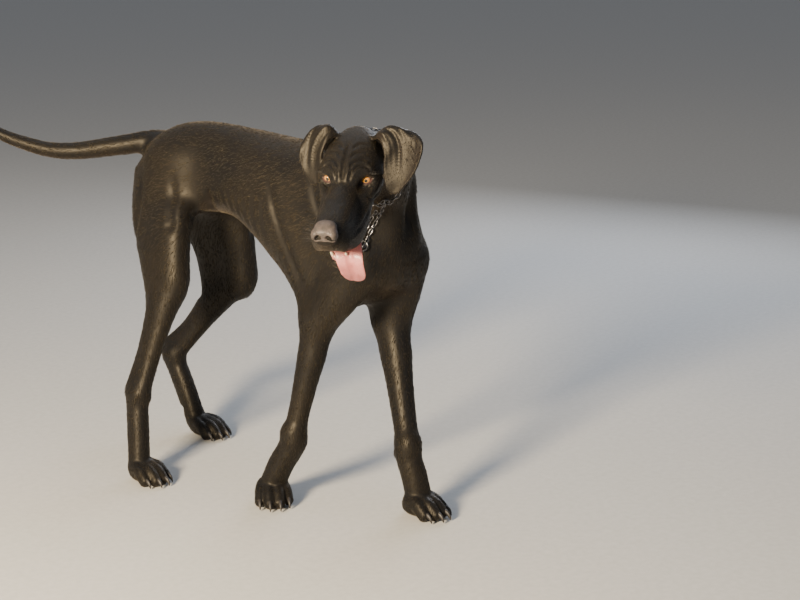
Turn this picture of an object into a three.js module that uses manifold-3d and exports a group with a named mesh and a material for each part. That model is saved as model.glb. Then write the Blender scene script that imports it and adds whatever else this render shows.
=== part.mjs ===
// A great dane standing with its head turned to its right, life size, in millimetres.
// The dog faces -Y, its left side is +X, the soles stand on z = 0.
import * as THREE from 'three';
import Module from 'manifold-3d';
import { mergeVertices } from 'three/addons/utils/BufferGeometryUtils.js';

const wasm = await Module();
wasm.setup();
const { Manifold, Mesh } = wasm;

// Sizes that set the whole dog
const GAP = 0.3;
const SOLE_CUT = 2.5;
const EYE_RADIUS = 12.5;
const EYE_SIDE = 38;
const EAR_THICK = 8;
const HEAD_PITCH = 25.7;
const JAW_OPEN = 21;
const STEP_TORSO = [38, 44, 37];
const STEP_NECK = [27, 27, 27];
const STEP_HEAD = [15.3, 15.3, 15.3];
const STEP_JAW = [17, 17, 13];
const STEP_LEG = [19, 19, 33];
const STEP_SHANK = [15, 15, 24];
const STEP_THIGH = [23, 26, 34];
const STEP_PAW = [13.8, 13.8, 12.2];
const TAIL_RINGS = 16;
const STEP_NOSE = [8, 8, 8];

// Small vector helpers on plain arrays
const add = (a, b) => [a[0] + b[0], a[1] + b[1], a[2] + b[2]];
const sub = (a, b) => [a[0] - b[0], a[1] - b[1], a[2] - b[2]];
const mul = (a, s) => [a[0] * s, a[1] * s, a[2] * s];
const dot = (a, b) => a[0] * b[0] + a[1] * b[1] + a[2] * b[2];
const cross = (a, b) => [a[1] * b[2] - a[2] * b[1], a[2] * b[0] - a[0] * b[2], a[0] * b[1] - a[1] * b[0]];
const unit = (a) => mul(a, 1 / Math.hypot(...a));
const mix = (a, b, t) => a.map((v, i) => v + (b[i] - v) * t);
const rad = (d) => (d * Math.PI) / 180;
const across = (v, along) => unit(sub(v, mul(along, dot(v, along))));

// Smooth curve through rows of numbers, read at t from 0 to rows.length - 1
function smoothRow(rows, t) {
  const last = rows.length - 1;
  const i = Math.min(Math.floor(t), last - 1);
  const f = t - i;
  const b = rows[i];
  const c = rows[i + 1];
  const a = i > 0 ? rows[i - 1] : b.map((v, k) => 2 * v - c[k]);
  const d = i + 2 <= last ? rows[i + 2] : c.map((v, k) => 2 * v - b[k]);
  return b.map((v, k) => 0.5 * (2 * v + (c[k] - a[k]) * f + (2 * a[k] - 5 * v + 4 * c[k] - d[k]) * f * f
    + (3 * v - a[k] - 3 * c[k] + d[k]) * f ** 3));
}

// A limb of flesh along a curve: rows of [x, y, z, half width, upper half, lower half]
function tube(rows, { side = [1, 0, 0], n = 2, k = 20, caps = [0, 0], step = 12 } = {}) {
  const fine = [];
  const count = Math.max(rows.length * 12, 48);
  for (let i = 0; i < count; i++) fine.push(smoothRow(rows, (i / (count - 1)) * (rows.length - 1)));
  const run = [0];
  for (let i = 1; i < count; i++) run.push(run[i - 1] + Math.hypot(...sub(fine[i].slice(0, 3), fine[i - 1].slice(0, 3))));
  const total = run[count - 1];
  const m = Math.max(rows.length * 3, Math.floor(total / step) + 2);
  const C = [];
  const r = [];
  let j = 0;
  for (let i = 0; i < m; i++) {
    const at = (total * i) / (m - 1);
    while (j < count - 2 && run[j + 1] < at) j++;
    const row = mix(fine[j], fine[j + 1], (at - run[j]) / (run[j + 1] - run[j]));
    C.push(row.slice(0, 3));
    r.push(row.slice(3, 6).map((v) => Math.max(v, 1)));
  }
  const sides = Array.isArray(side[0]) ? side : [side, side];
  const T = C.map((_, i) => unit(sub(C[Math.min(i + 1, m - 1)], C[Math.max(i - 1, 0)])));
  const U = T.map((t, i) => {
    const at = (i / (m - 1)) * (sides.length - 1);
    const a = Math.min(Math.floor(at), sides.length - 2);
    return across(mix(sides[a], sides[a + 1], at - a), t);
  });
  const V = T.map((t, i) => cross(t, U[i]));
  const cap = [caps[0] || Math.min(...r[0]), caps[1] || Math.min(...r[m - 1])];
  const reach = Math.max(...r.flat());
  const low = [0, 1, 2].map((a) => Math.min(...C.map((c) => c[a])) - reach);
  const high = [0, 1, 2].map((a) => Math.max(...C.map((c) => c[a])) + reach);
  const stride = total / (m - 1);
  const value = (p) => {
    let best = 1e18;
    let q = 0;
    for (let i = 0; i < m; i++) {
      const c = C[i];
      const d = (p[0] - c[0]) ** 2 + (p[1] - c[1]) ** 2 + (p[2] - c[2]) ** 2;
      if (d < best) {
        best = d;
        q = i;
      }
    }
    const slip = dot(sub(p, C[q]), T[q]) / stride;
    const t = Math.min(Math.max(q + Math.min(Math.max(slip, -0.5), 0.5), 0), m - 1);
    const i = Math.min(Math.floor(t), m - 2);
    const f = t - i;
    const d = sub(p, mix(C[i], C[i + 1], f));
    const half = mix(r[i], r[i + 1], f);
    const u = dot(d, mix(U[i], U[i + 1], f));
    const v = dot(d, mix(V[i], V[i + 1], f));
    const w = t <= 0 || t >= m - 1 ? dot(d, mix(T[i], T[i + 1], f)) : 0;
    const end = t <= 0 ? cap[0] : cap[1];
    const b = v > 0 ? half[1] : half[2];
    const s = (Math.abs(u / half[0]) ** n + Math.abs(v / b) ** n + Math.abs(w / end) ** n) ** (1 / n);
    const far = Math.hypot(u, v, w);
    return far < 1e-6 ? -Math.min(half[0], b) : far * (1 - 1 / Math.max(s, 1e-4));
  };
  return { k, low, high, value };
}

// A swelling of flesh: axes are the half sizes across, along and through
function ball(c, axes, { along = [0, 1, 0], side = [1, 0, 0], n = 2, k = 15 } = {}) {
  const a = unit(along);
  const b = across(side, a);
  const frame = [b, a, cross(b, a)];
  const reach = Math.max(...axes);
  const value = (p) => {
    const d = sub(p, c);
    const q = frame.map((f) => dot(d, f));
    const s = q.reduce((t, v, i) => t + Math.abs(v / axes[i]) ** n, 0) ** (1 / n);
    const far = Math.hypot(...q);
    return far < 1e-6 ? -Math.min(...axes) : far * (1 - 1 / Math.max(s, 1e-4));
  };
  return { k, low: c.map((v) => v - reach), high: c.map((v) => v + reach), value };
}
const hollow = (part) => ({ ...part, cut: true });

// One smooth body from many parts of flesh: negative inside
function smoothMin(a, b, k) {
  const h = Math.max(k - Math.abs(a - b), 0) / k;
  return Math.min(a, b) - h * h * k * 0.25;
}
const OPEN = 60;
const NEAR = 25;
const close = (part, p) => [0, 1, 2].every((a) => p[a] > part.low[a] - part.k - NEAR && p[a] < part.high[a] + part.k + NEAR);
function flesh(parts, p) {
  let f = OPEN;
  for (const part of parts) {
    if (!close(part, p)) continue;
    const d = part.value(p);
    f = part.cut ? -smoothMin(-f, d, part.k) : smoothMin(f, d, part.k);
  }
  return f;
}

const ticks = (low, high, step) => {
  const count = Math.ceil((high - low) / step);
  return Array.from({ length: count + 1 }, (_, i) => low + i * step);
};

// Turns the weakest corner wherever two corners of a grid face touch only across it
function untangle(F, size, id) {
  for (let turn = 0; turn < 12; turn++) {
    let turned = 0;
    for (let a = 0; a < 3; a++) {
      const b = (a + 1) % 3;
      const at = [0, 0, 0];
      for (at[0] = 0; at[0] < size[0] - (a === 0 || b === 0 ? 1 : 0); at[0]++) {
        for (at[1] = 0; at[1] < size[1] - (a === 1 || b === 1 ? 1 : 0); at[1]++) {
          for (at[2] = 0; at[2] < size[2] - (a === 2 || b === 2 ? 1 : 0); at[2]++) {
            const face = [[0, 0], [1, 0], [1, 1], [0, 1]].map(([p, q]) => {
              const c = [...at];
              c[a] += p;
              c[b] += q;
              return id(...c);
            });
            const [s, t, u, v] = face.map((i) => F[i] < 0);
            if (s !== u || t !== v || s === t) continue;
            const weak = face.reduce((m, i) => (Math.abs(F[i]) < Math.abs(F[m]) ? i : m));
            F[weak] = F[weak] < 0 ? 0.02 : -0.02;
            turned += 1;
          }
        }
      }
    }
    if (turned === 0) return;
  }
}

// Closed solid of the flesh inside a box, its corners laid on the true surface
function solidOf(parts, low, high, step, { even = [] } = {}) {
  const X = [0, 1, 2].map((a) => ticks(low[a], high[a], step[a]));
  const [nx, ny, nz] = X.map((t) => t.length);
  const used = parts.filter((q) => [0, 1, 2].every((a) => q.low[a] < high[a] + 60 && q.high[a] > low[a] - 60));
  const F = new Float64Array(nx * ny * nz);
  const id = (i, j, k) => (i * ny + j) * nz + k;
  for (let i = 0; i < nx; i++) {
    for (let j = 0; j < ny; j++) {
      for (let k = 0; k < nz; k++) {
        const edge = i === 0 || j === 0 || k === 0 || i === nx - 1 || j === ny - 1 || k === nz - 1;
        F[id(i, j, k)] = edge ? step[0] * 0.5 : flesh(used, [X[0][i], X[1][j], X[2][k]]);
      }
    }
  }
  untangle(F, [nx, ny, nz], id);
  const cell = new Int32Array(nx * ny * nz).fill(-1);
  const points = [];
  const corners = [];
  for (let c = 0; c < 8; c++) corners.push([c & 1, (c >> 1) & 1, (c >> 2) & 1]);
  for (let i = 0; i < nx - 1; i++) {
    for (let j = 0; j < ny - 1; j++) {
      for (let k = 0; k < nz - 1; k++) {
        const f = corners.map((c) => F[id(i + c[0], j + c[1], k + c[2])]);
        const inside = f.filter((v) => v < 0).length;
        if (inside === 0 || inside === 8) continue;
        let sum = [0, 0, 0];
        let hits = 0;
        for (let a = 0; a < 3; a++) {
          for (let c = 0; c < 8; c++) {
            if (corners[c][a]) continue;
            const d = c + (1 << a);
            if (f[c] < 0 === f[d] < 0) continue;
            const t = f[c] / (f[c] - f[d]);
            const p = [0, 1, 2].map((b) => {
              const at = [i, j, k][b] + corners[c][b];
              return b === a ? X[b][at] + (X[b][at + 1] - X[b][at]) * t : X[b][at];
            });
            sum = add(sum, p);
            hits += 1;
          }
        }
        cell[id(i, j, k)] = points.length;
        const border = i === 0 || j === 0 || k === 0 || i === nx - 2 || j === ny - 2 || k === nz - 2;
        points.push({ p: mul(sum, 1 / hits), border });
      }
    }
  }
  const reach = Math.max(...step) * 0.5;
  for (const q of points) {
    if (q.border) continue;
    const from = q.p;
    for (let turn = 0; turn < 3; turn++) {
      const e = 1.0;
      const f = flesh(used, q.p);
      const g = [0, 1, 2].map((a) => {
        const d = [0, 0, 0];
        d[a] = e;
        return (flesh(used, add(q.p, d)) - flesh(used, sub(q.p, d))) / (2 * e);
      });
      const slope = dot(g, g);
      if (slope < 0.04) break;
      const next = sub(q.p, mul(g, f / slope));
      if (Math.hypot(...sub(next, from)) > reach) break;
      q.p = next;
    }
  }
  const quads = [];
  for (let a = 0; a < 3; a++) {
    const b = (a + 1) % 3;
    const c = (a + 2) % 3;
    const size = [nx, ny, nz];
    const at = [0, 0, 0];
    for (at[a] = 0; at[a] < size[a] - 1; at[a]++) {
      for (at[b] = 1; at[b] < size[b] - 1; at[b]++) {
        for (at[c] = 1; at[c] < size[c] - 1; at[c]++) {
          const up = [...at];
          up[a] += 1;
          const f0 = F[id(...at)] < 0;
          const f1 = F[id(...up)] < 0;
          if (f0 === f1) continue;
          const take = (db, dc) => {
            const q = [...at];
            q[b] -= db;
            q[c] -= dc;
            return cell[id(...q)];
          };
          const ring = [take(1, 1), take(0, 1), take(0, 0), take(1, 0)];
          if (!f0) ring.reverse();
          quads.push(ring);
        }
      }
    }
  }
  return biggest(fromArrays(points.flatMap((q) => q.p), splitQuads(points.map((q) => q.p), quads)));
}

// Two triangles for each four-sided face, along the shorter diagonal that isn't an edge yet
function splitQuads(points, quads) {
  const key = (a, b) => (a < b ? `${a}_${b}` : `${b}_${a}`);
  const edges = new Set(quads.flatMap((q) => q.map((a, i) => key(a, q[(i + 1) % 4]))));
  const span = (a, b) => Math.hypot(...sub(points[a], points[b]));
  const tris = [];
  for (const [a, b, c, d] of quads) {
    const first = !edges.has(key(a, c)) && (span(a, c) < span(b, d) || edges.has(key(b, d)));
    edges.add(first ? key(a, c) : key(b, d));
    if (first) tris.push(a, b, c, a, c, d);
    else tris.push(a, b, d, b, c, d);
  }
  return tris;
}

function fromArrays(coords, tris) {
  const mesh = new Mesh({ numProp: 3, vertProperties: new Float32Array(coords), triVerts: new Uint32Array(tris) });
  return new Manifold(mesh);
}
function biggest(solid) {
  const pieces = solid.decompose();
  if (pieces.length < 2) return solid;
  return pieces.reduce((a, b) => (b.volume() > a.volume() ? b : a));
}

// Closed solid from equal rings of points, with flat ends
function ringSolid(rings) {
  const n = rings[0].length;
  const coords = rings.flat(2);
  const tris = [];
  for (let i = 0; i < rings.length - 1; i++) {
    for (let j = 0; j < n; j++) {
      const a = i * n + j;
      const b = i * n + ((j + 1) % n);
      tris.push(a, b, b + n, a, b + n, a + n);
    }
  }
  const ends = [rings[0], rings[rings.length - 1]];
  ends.forEach((ring, e) => {
    const c = coords.length / 3;
    const mid = mul(ring.reduce(add, [0, 0, 0]), 1 / n);
    coords.push(...mid);
    const base = e === 0 ? 0 : (rings.length - 1) * n;
    for (let j = 0; j < n; j++) {
      const a = base + j;
      const b = base + ((j + 1) % n);
      if (e === 0) tris.push(c, b, a);
      else tris.push(c, a, b);
    }
  });
  const solid = fromArrays(coords, tris);
  return solid.volume() < 0 ? fromArrays(coords, tris.map((_, i) => tris[i - (i % 3) + (2 - (i % 3))])) : solid;
}
// Rings of a small rounded bar along rows of [point, half width, half height]
function bar(rows, side, sides = 8) {
  const rings = rows.map(([p, w, h], i) => {
    const t = unit(sub(rows[Math.min(i + 1, rows.length - 1)][0], rows[Math.max(i - 1, 0)][0]));
    const u = across(side, t);
    const v = cross(t, u);
    return Array.from({ length: sides }, (_, j) => {
      const g = (j / sides) * 2 * Math.PI;
      return add(p, add(mul(u, Math.cos(g) * w), mul(v, Math.sin(g) * h)));
    });
  });
  return ringSolid(rings);
}

// Half of space as a big box: everything on the side of p that n points to
function half(p, n, size = 1600) {
  const g = new THREE.BoxGeometry(size, size, size);
  const to = new THREE.Vector3(...unit(n));
  g.applyQuaternion(new THREE.Quaternion().setFromUnitVectors(new THREE.Vector3(0, 0, 1), to));
  const c = add(p, mul(unit(n), size / 2));
  g.translate(...c);
  g.deleteAttribute('normal');
  g.deleteAttribute('uv');
  const w = mergeVertices(g, 1e-3);
  return fromArrays(Array.from(w.attributes.position.array), Array.from(w.index.array));
}
const shifted = (p, n, by) => add(p, mul(unit(n), by));

// The same solid with its skin moved outwards
function grown(solid, by) {
  const m = solid.getMesh();
  const P = m.vertProperties;
  const N = new Float64Array(P.length);
  const at = (i) => [P[i * 3], P[i * 3 + 1], P[i * 3 + 2]];
  for (let t = 0; t < m.triVerts.length; t += 3) {
    const [a, b, c] = m.triVerts.slice(t, t + 3);
    const n = cross(sub(at(b), at(a)), sub(at(c), at(a)));
    for (const i of [a, b, c]) for (let q = 0; q < 3; q++) N[i * 3 + q] += n[q];
  }
  const out = Array.from(P);
  for (let i = 0; i < P.length / 3; i++) {
    const n = unit([N[i * 3], N[i * 3 + 1], N[i * 3 + 2]]);
    for (let q = 0; q < 3; q++) out[i * 3 + q] += n[q] * by;
  }
  return fromArrays(out, Array.from(m.triVerts));
}

// Where the joints of this dog stand
const EYES = [-206, -516, 812];
const TURN = unit([-0.862, -0.5, 0]);
const LEFT = [-TURN[1], TURN[0], 0];
const FACE = add(mul(TURN, Math.cos(rad(HEAD_PITCH))), [0, 0, -Math.sin(rad(HEAD_PITCH))]);
const CROWN = add(mul(TURN, Math.sin(rad(HEAD_PITCH))), [0, 0, Math.cos(rad(HEAD_PITCH))]);
const head = (a, b, c) => add(EYES, add(mul(FACE, a), add(mul(LEFT, b), mul(CROWN, c))));
const JAW_WAY = add(mul(FACE, Math.cos(rad(JAW_OPEN))), mul(CROWN, -Math.sin(rad(JAW_OPEN))));
const JAW_UP = add(mul(CROWN, Math.cos(rad(JAW_OPEN))), mul(FACE, Math.sin(rad(JAW_OPEN))));
const jaw = (a, b, c) => add(head(-70, 0, -46), add(mul(JAW_WAY, a), add(mul(LEFT, b), mul(JAW_UP, c))));
const spine = (y) => 57 - 0.03 * y;
const FORE = {
  right: { s: -1, w: 1.03, shoulder: [spine(-370) - 80, -360, 580], elbow: [-25, -240, 434], wrist: [-70, -200, 163],
    paw: [-93, -152, 0], ankle: [-87, -144, 44], toes: [-0.75, -1, 0] },
  left: { s: 1, w: 1.14, shoulder: [spine(-380) + 66, -366, 572], elbow: [148, -296, 418], wrist: [80, -415, 152],
    paw: [85, -456, 0], ankle: [85, -442, 44], toes: [0.05, -1, 0] },
};
const HIND = {
  right: { s: -1, hip: [-30, 285, 650], knee: [-94, 172, 482], hock: [-183, 216, 203], paw: [-204, 166, 0],
    calf: [0, 78, -22], ankle: [-207, 192, 44], toes: [0, -1, 0] },
  left: { s: 1, hip: [128, 296, 650], knee: [166, 228, 438], hock: [104, 436, 202], paw: [119, 331, 0],
    calf: [-8, 102, -10], ankle: [110, 366, 44], toes: [0.05, -1, 0] },
};
const FORE_PAW = 1.15;
const HIND_PAW = 1.11;
const TAIL = [[50, 350, 752, 24, 28, 32], [54, 381, 762, 28, 30, 30], [27, 409, 760, 28, 28, 28],
  [-33, 471, 748, 25, 25, 25], [-93, 533, 737, 22.5, 22.5, 22.5], [-143, 585, 739, 20, 20, 20],
  [-194, 637, 759, 17.5, 17.5, 17.5], [-230, 675, 781, 15, 15, 15], [-263, 709, 810, 12.5, 12.5, 12.5],
  [-288, 735, 842, 10, 10, 10], [-303, 751, 872, 7, 7, 7]];

// Body and neck
function trunkParts() {
  const rows = [[404, 728, 36, 28, 44], [378, 730, 60, 42, 84], [330, 730, 80, 74, 112], [260, 730, 90, 95, 124],
    [180, 722, 82, 108, 112], [100, 712, 86, 116, 101], [20, 698, 104, 126, 105], [-60, 678, 118, 143, 128],
    [-140, 656, 122, 168, 166], [-220, 638, 116, 192, 192], [-300, 622, 102, 180, 178], [-360, 606, 84, 130, 130],
    [-400, 596, 62, 84, 88]];
  const trunk = tube(rows.map(([y, z, w, up, down]) => [spine(y), y, z, w, up, down]), { n: 2.15, caps: [25, 26] });
  const neck = tube([[62, -225, 690, 86, 118, 150], [65, -290, 715, 90, 104, 128], [52, -345, 752, 87, 88, 104],
    [12, -395, 790, 71, 76, 86], [-38, -428, 822, 58, 62, 72], [-90, -452, 836, 52, 48, 62]],
  { side: [[1, 0, 0], [1, -0.1, 0], [0.95, -0.3, 0], [0.8, -0.6, 0], [0.6, -0.8, 0]], n: 2.1, k: 45 });
  return [trunk, neck];
}

// One foreleg from the shoulder blade to the top of the paw
function foreParts({ s, w, shoulder, elbow, wrist, ankle }) {
  const blade = [spine(-215) + s * 52, -205, 770];
  const point = add(elbow, [s * 2, 42, 14]);
  const near = (a, b, t, d = [0, 0, 0]) => add(mix(a, b, t), d);
  return [
    tube([[...blade, 26, 60, 60], [...near(blade, shoulder, 0.5, [s * 6, 0, 0]), 36, 70, 62],
      [...shoulder, 38, 46, 50]], { n: 2.2, k: 40 }),
    tube([[...shoulder, 40, 48, 48], [...near(shoulder, elbow, 0.5, [s * 2, 0, 0]), 42, 56, 52],
      [...elbow, 38 * w, 43 * w, 41 * w]], { n: 2.1, k: 30 }),
    tube([[...near(blade, point, 0.55, [s * 4, 30, 20]), 26, 60, 60],
      [...near(blade, point, 0.75, [s * 2, 14, 0]), 26, 46, 44], [...add(point, [0, -6, 0]), 17, 20, 20]],
    { n: 2.1, k: 40 }),
    tube([[...add(elbow, [0, 6, 6]), 31 * w, 37 * w, 37 * w], [...near(elbow, wrist, 0.22), 31 * w, 36 * w, 36 * w],
      [...near(elbow, wrist, 0.5), 26 * w, 29 * w, 29 * w], [...near(elbow, wrist, 0.8), 23 * w, 25 * w, 26 * w],
      [...wrist, 26, 29, 30]], { n: 2.15, k: 24 }),
    tube([[...add(wrist, [0, 0, 12]), 27, 29, 31], [...add(wrist, [0, 0, -14]), 28, 29, 32],
      [...near(wrist, ankle, 0.55), 29, 30, 31], [...ankle, 30, 30, 29]], { n: 2.2, k: 14 }),
    ball(add(wrist, [0, 36, -20]), [9, 8, 12], { k: 14 }),
  ];
}

// One hind leg from the haunch to the top of the paw
function hindParts({ s, hip, knee, hock, calf, ankle }) {
  const seat = [spine(390) + s * 50, 384, 690];
  const near = (a, b, t, d = [0, 0, 0]) => add(mix(a, b, t), d);
  const heel = add(hock, [0, 28, 18]);
  const back = add(knee, calf);
  const rear = calf[1] / 3;
  return [
    tube([[...add(hip, [s * -10, -10, 80]), 36, 76, 66], [...add(hip, [0, 0, -20]), 48, 104, 88],
      [...near(hip, knee, 0.5, [s * 3, 12, -8]), 46, 92, 78], [...add(knee, [0, 18, 2]), 37, 56, 52],
      [...add(knee, [0, 12, -40]), 29, 37, 39]], { n: 2.1, k: 60, caps: [40, 0] }),
    tube([[...seat, 30, 34, 34], [...near(seat, back, 0.4, [0, 8, 0]), 36, 50, 42], [...near(seat, back, 0.8), 34, 48, 41],
      [...near(knee, hock, 0.3, [0, rear, 0]), 26, 37, 33]], { n: 2.1, k: 36 }),
    tube([[...add(knee, [0, 8, -6]), 32, 42, 44], [...near(knee, hock, 0.25, [0, 6, 0]), 29, 37, 41],
      [...near(knee, hock, 0.55, [0, 4, 0]), 24, 29, 31], [...near(knee, hock, 0.85, [0, -2, 0]), 22, 25, 27],
      [...add(hock, [0, -8, 4]), 23, 25, 25]], { n: 2.15, k: 24 }),
    tube([[...near(knee, hock, 0.42, [0, rear + 6, 0]), 17, 21, 21], [...near(knee, hock, 0.68, [0, 30, 4]), 13, 15, 15],
      [...add(heel, [0, -6, 6]), 13, 15, 15], [...add(heel, [0, -2, -8]), 16, 16, 17]], { n: 2.1, k: 20 }),
    ball(add(hock, [0, 0, -4]), [24, 28, 30], { k: 16 }),
    tube([[...add(hock, [0, 6, -6]), 24, 29, 30], [...near(hock, ankle, 0.4, [0, 4, 0]), 25, 29, 29],
      [...near(hock, ankle, 0.8, [0, 1, 0]), 25, 28, 28], [...ankle, 26, 27, 27]], { n: 2.2, k: 14 }),
  ];
}

// Pads and four arched toes, standing on the ground
const TOES = [[-27, 2, 11.5], [-9.5, 16, 13], [9.5, 16, 13], [27, 2, 11.5]];
function pawFrame(paw, toes, size) {
  const f = unit(toes);
  const l = [-f[1], f[0], 0];
  const at = (a, b, z) => add(paw, add(mul(f, a * size), add(mul(l, b * size), [0, 0, z * size])));
  return { f, l, at };
}
function pawParts({ paw, toes }, size) {
  const { f, l, at } = pawFrame(paw, toes, size);
  const parts = [ball(at(-12, 0, 22), [30 * size, 34 * size, 24 * size], { along: f, side: l, n: 2.2, k: 14 })];
  for (const [b, a, w] of TOES) {
    const r = (v) => v * size;
    parts.push(tube([[...at(a - 22, b * 0.75, 34), r(w * 0.85), r(14), r(14)], [...at(a + 4, b * 0.95, 29), r(w), r(15), r(15)],
      [...at(a + 24, b * 1.05, 14), r(w * 0.95), r(14), r(14)]], { side: l, n: 2.1, k: 8 }));
  }
  return parts;
}

// Skull, cheeks, muzzle and hanging upper lips
function skullParts() {
  const face = { along: FACE, side: LEFT };
  const parts = [
    ball(head(-62, 0, -3), [57, 88, 50], { ...face, n: 2.4, k: 20 }),
    tube([[...head(-112, 0, 18), 26, 24, 30], [...head(-66, 0, 23), 46, 23, 30], [...head(-34, 0, 18), 38, 20, 30],
      [...head(-6, 0, 7), 25, 16, 24], [...head(22, 0, -6), 17, 16, 20], [...head(56, 0, -11), 17, 16, 18]],
    { side: LEFT, n: 2.2, k: 26 }),
    tube([[...head(-24, 0, -34), 42, 26, 34], [...head(14, 0, -34), 38, 26, 34], [...head(56, 0, -30), 37, 34, 41],
      [...head(110, 0, -27), 37, 33, 44], [...head(146, 0, -22), 36, 28, 40], [...head(163, 0, -16), 32, 22, 32],
      [...head(174, 0, -11), 24, 15, 22]], { side: LEFT, n: 2.5, k: 20 }),
  ];
  for (const s of [1, -1]) {
    parts.push(ball(head(-15, s * 36, 15), [15, 14, 8], { ...face, k: 16 }));
    parts.push(ball(head(-36, s * 45, -24), [18, 46, 38], { ...face, k: 24 }));
    parts.push(tube([[...head(30, s * 33, -30), 8, 10, 12], [...head(4, s * 42, -26), 9, 9, 12],
      [...head(-30, s * 55, -18), 9, 12, 14], [...head(-60, s * 56, -18), 8, 12, 14]], { side: LEFT, k: 18 }));
    parts.push(tube([[...head(18, s * 40, -48), 12, 18, 18], [...head(58, s * 42, -58), 11, 22, 25],
      [...head(105, s * 38, -60), 11, 22, 24], [...head(148, s * 26, -46), 10, 17, 18]],
    { side: LEFT, n: 2.1, k: 22 }));
  }
  for (const s of [1, -1]) parts.push(hollow(ball(head(9, s * 43, -3), [14, 14, 8], { ...face, k: 12 })));
  return parts;
}
function jawParts() {
  return [tube([[...jaw(-6, 0, 0), 40, 26, 26], [...jaw(50, 0, -14), 38, 18, 22], [...jaw(110, 0, -16), 31, 13, 17],
    [...jaw(170, 0, -12), 25, 11, 15], [...jaw(200, 0, -6), 19, 10, 13]], { side: LEFT, n: 2.4, k: 14 })];
}

// Edge curves of the ears in head sizes [forward, outward, up], from the base over the fold to the tip
const EARS = {
  left: {
    s: 1,
    front: [[-88, 34, 40], [-70, 60, 52], [-50, 72, 30], [-37, 71, 4], [-20, 75, -26], [-15, 84, -42]],
    rear: [[-94, 54, -34], [-102, 98, 16], [-82, 130, 56], [-51, 150, 50], [-28, 135, 6], [-13, 100, -38]],
    crest: [[-8, 4, 8], [-4, -7, 30], [-12, 0, 20], [-14, 2, 10], [-6, 6, 4], [0, 0, 0]],
  },
  right: {
    s: -1,
    front: [[-92, 20, 40], [-66, 44, 53], [-44, 58, 32], [-32, 62, 6], [-24, 64, -18], [-20, 74, -31]],
    rear: [[-96, 54, -34], [-104, 80, 16], [-84, 98, 40], [-55, 108, 22], [-38, 101, -6], [-24, 83, -33]],
    crest: [[-8, 2, 8], [-8, -10, 28], [-16, -2, 20], [-12, 6, 8], [-4, 6, 3], [0, 0, 0]],
  },
};
const EAR_COLUMNS = 5;
const EAR_ROWS = 8;
function earPoint({ s, front, rear, crest }, u, v) {
  const t = v * (front.length - 1);
  const lift = 4 * u * (1 - u);
  const q = add(mix(smoothRow(front, t), smoothRow(rear, t), u), mul(smoothRow(crest, t), lift));
  return head(q[0], q[1] * s, q[2]);
}
function earSolid(ear) {
  const e = 1e-3;
  const sheet = (sign) => {
    const points = [];
    for (let i = 0; i <= EAR_ROWS; i++) {
      for (let j = 0; j <= EAR_COLUMNS; j++) {
        const v = Math.min(Math.max(i / EAR_ROWS, e), 1 - e);
        const u = Math.min(Math.max(j / EAR_COLUMNS, e), 1 - e);
        const du = sub(earPoint(ear, u + e, v), earPoint(ear, u - e, v));
        const dv = sub(earPoint(ear, u, v + e), earPoint(ear, u, v - e));
        const thick = EAR_THICK * (1 - 0.35 * v);
        points.push(add(earPoint(ear, u, v), mul(unit(cross(du, dv)), (sign * thick) / 2)));
      }
    }
    return points;
  };
  const n = (EAR_ROWS + 1) * (EAR_COLUMNS + 1);
  const coords = [...sheet(1), ...sheet(-1)].flat();
  const tris = [];
  const at = (i, j) => i * (EAR_COLUMNS + 1) + j;
  for (let i = 0; i < EAR_ROWS; i++) {
    for (let j = 0; j < EAR_COLUMNS; j++) {
      const [a, b, c, d] = [at(i, j), at(i, j + 1), at(i + 1, j + 1), at(i + 1, j)];
      tris.push(a, b, c, a, c, d);
      tris.push(n + a, n + c, n + b, n + a, n + d, n + c);
    }
  }
  const rim = [];
  for (let j = 0; j < EAR_COLUMNS; j++) rim.push(at(0, j));
  for (let i = 0; i < EAR_ROWS; i++) rim.push(at(i, EAR_COLUMNS));
  for (let j = EAR_COLUMNS; j > 0; j--) rim.push(at(EAR_ROWS, j));
  for (let i = EAR_ROWS; i > 0; i--) rim.push(at(i, 0));
  rim.forEach((a, i) => {
    const b = rim[(i + 1) % rim.length];
    tris.push(b, a, n + a, b, n + a, n + b);
  });
  const solid = fromArrays(coords, tris);
  if (solid.volume() > 0) return solid;
  const turned = [];
  for (let i = 0; i < tris.length; i += 3) turned.push(tris[i], tris[i + 2], tris[i + 1]);
  return fromArrays(coords, turned);
}

// Eyeballs with the lids that close over them
const eyeCentre = (s) => head(-11, s * EYE_SIDE, -5);
function eyeSolid(s, radius) {
  const g = new THREE.IcosahedronGeometry(radius, 2);
  g.translate(...eyeCentre(s));
  g.deleteAttribute('normal');
  g.deleteAttribute('uv');
  const w = mergeVertices(g, 1e-3);
  return fromArrays(Array.from(w.attributes.position.array), Array.from(w.index.array));
}
function gaze(s) {
  const look = unit(add(add(mul(FACE, 0.86), mul(LEFT, s * 0.27 + 0.06)), mul(CROWN, 0.36)));
  const out = across(add(add(mul(LEFT, s), mul(CROWN, 0.2)), mul(FACE, -0.1)), look);
  return { look, out, up: across(across(CROWN, look), out) };
}
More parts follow.
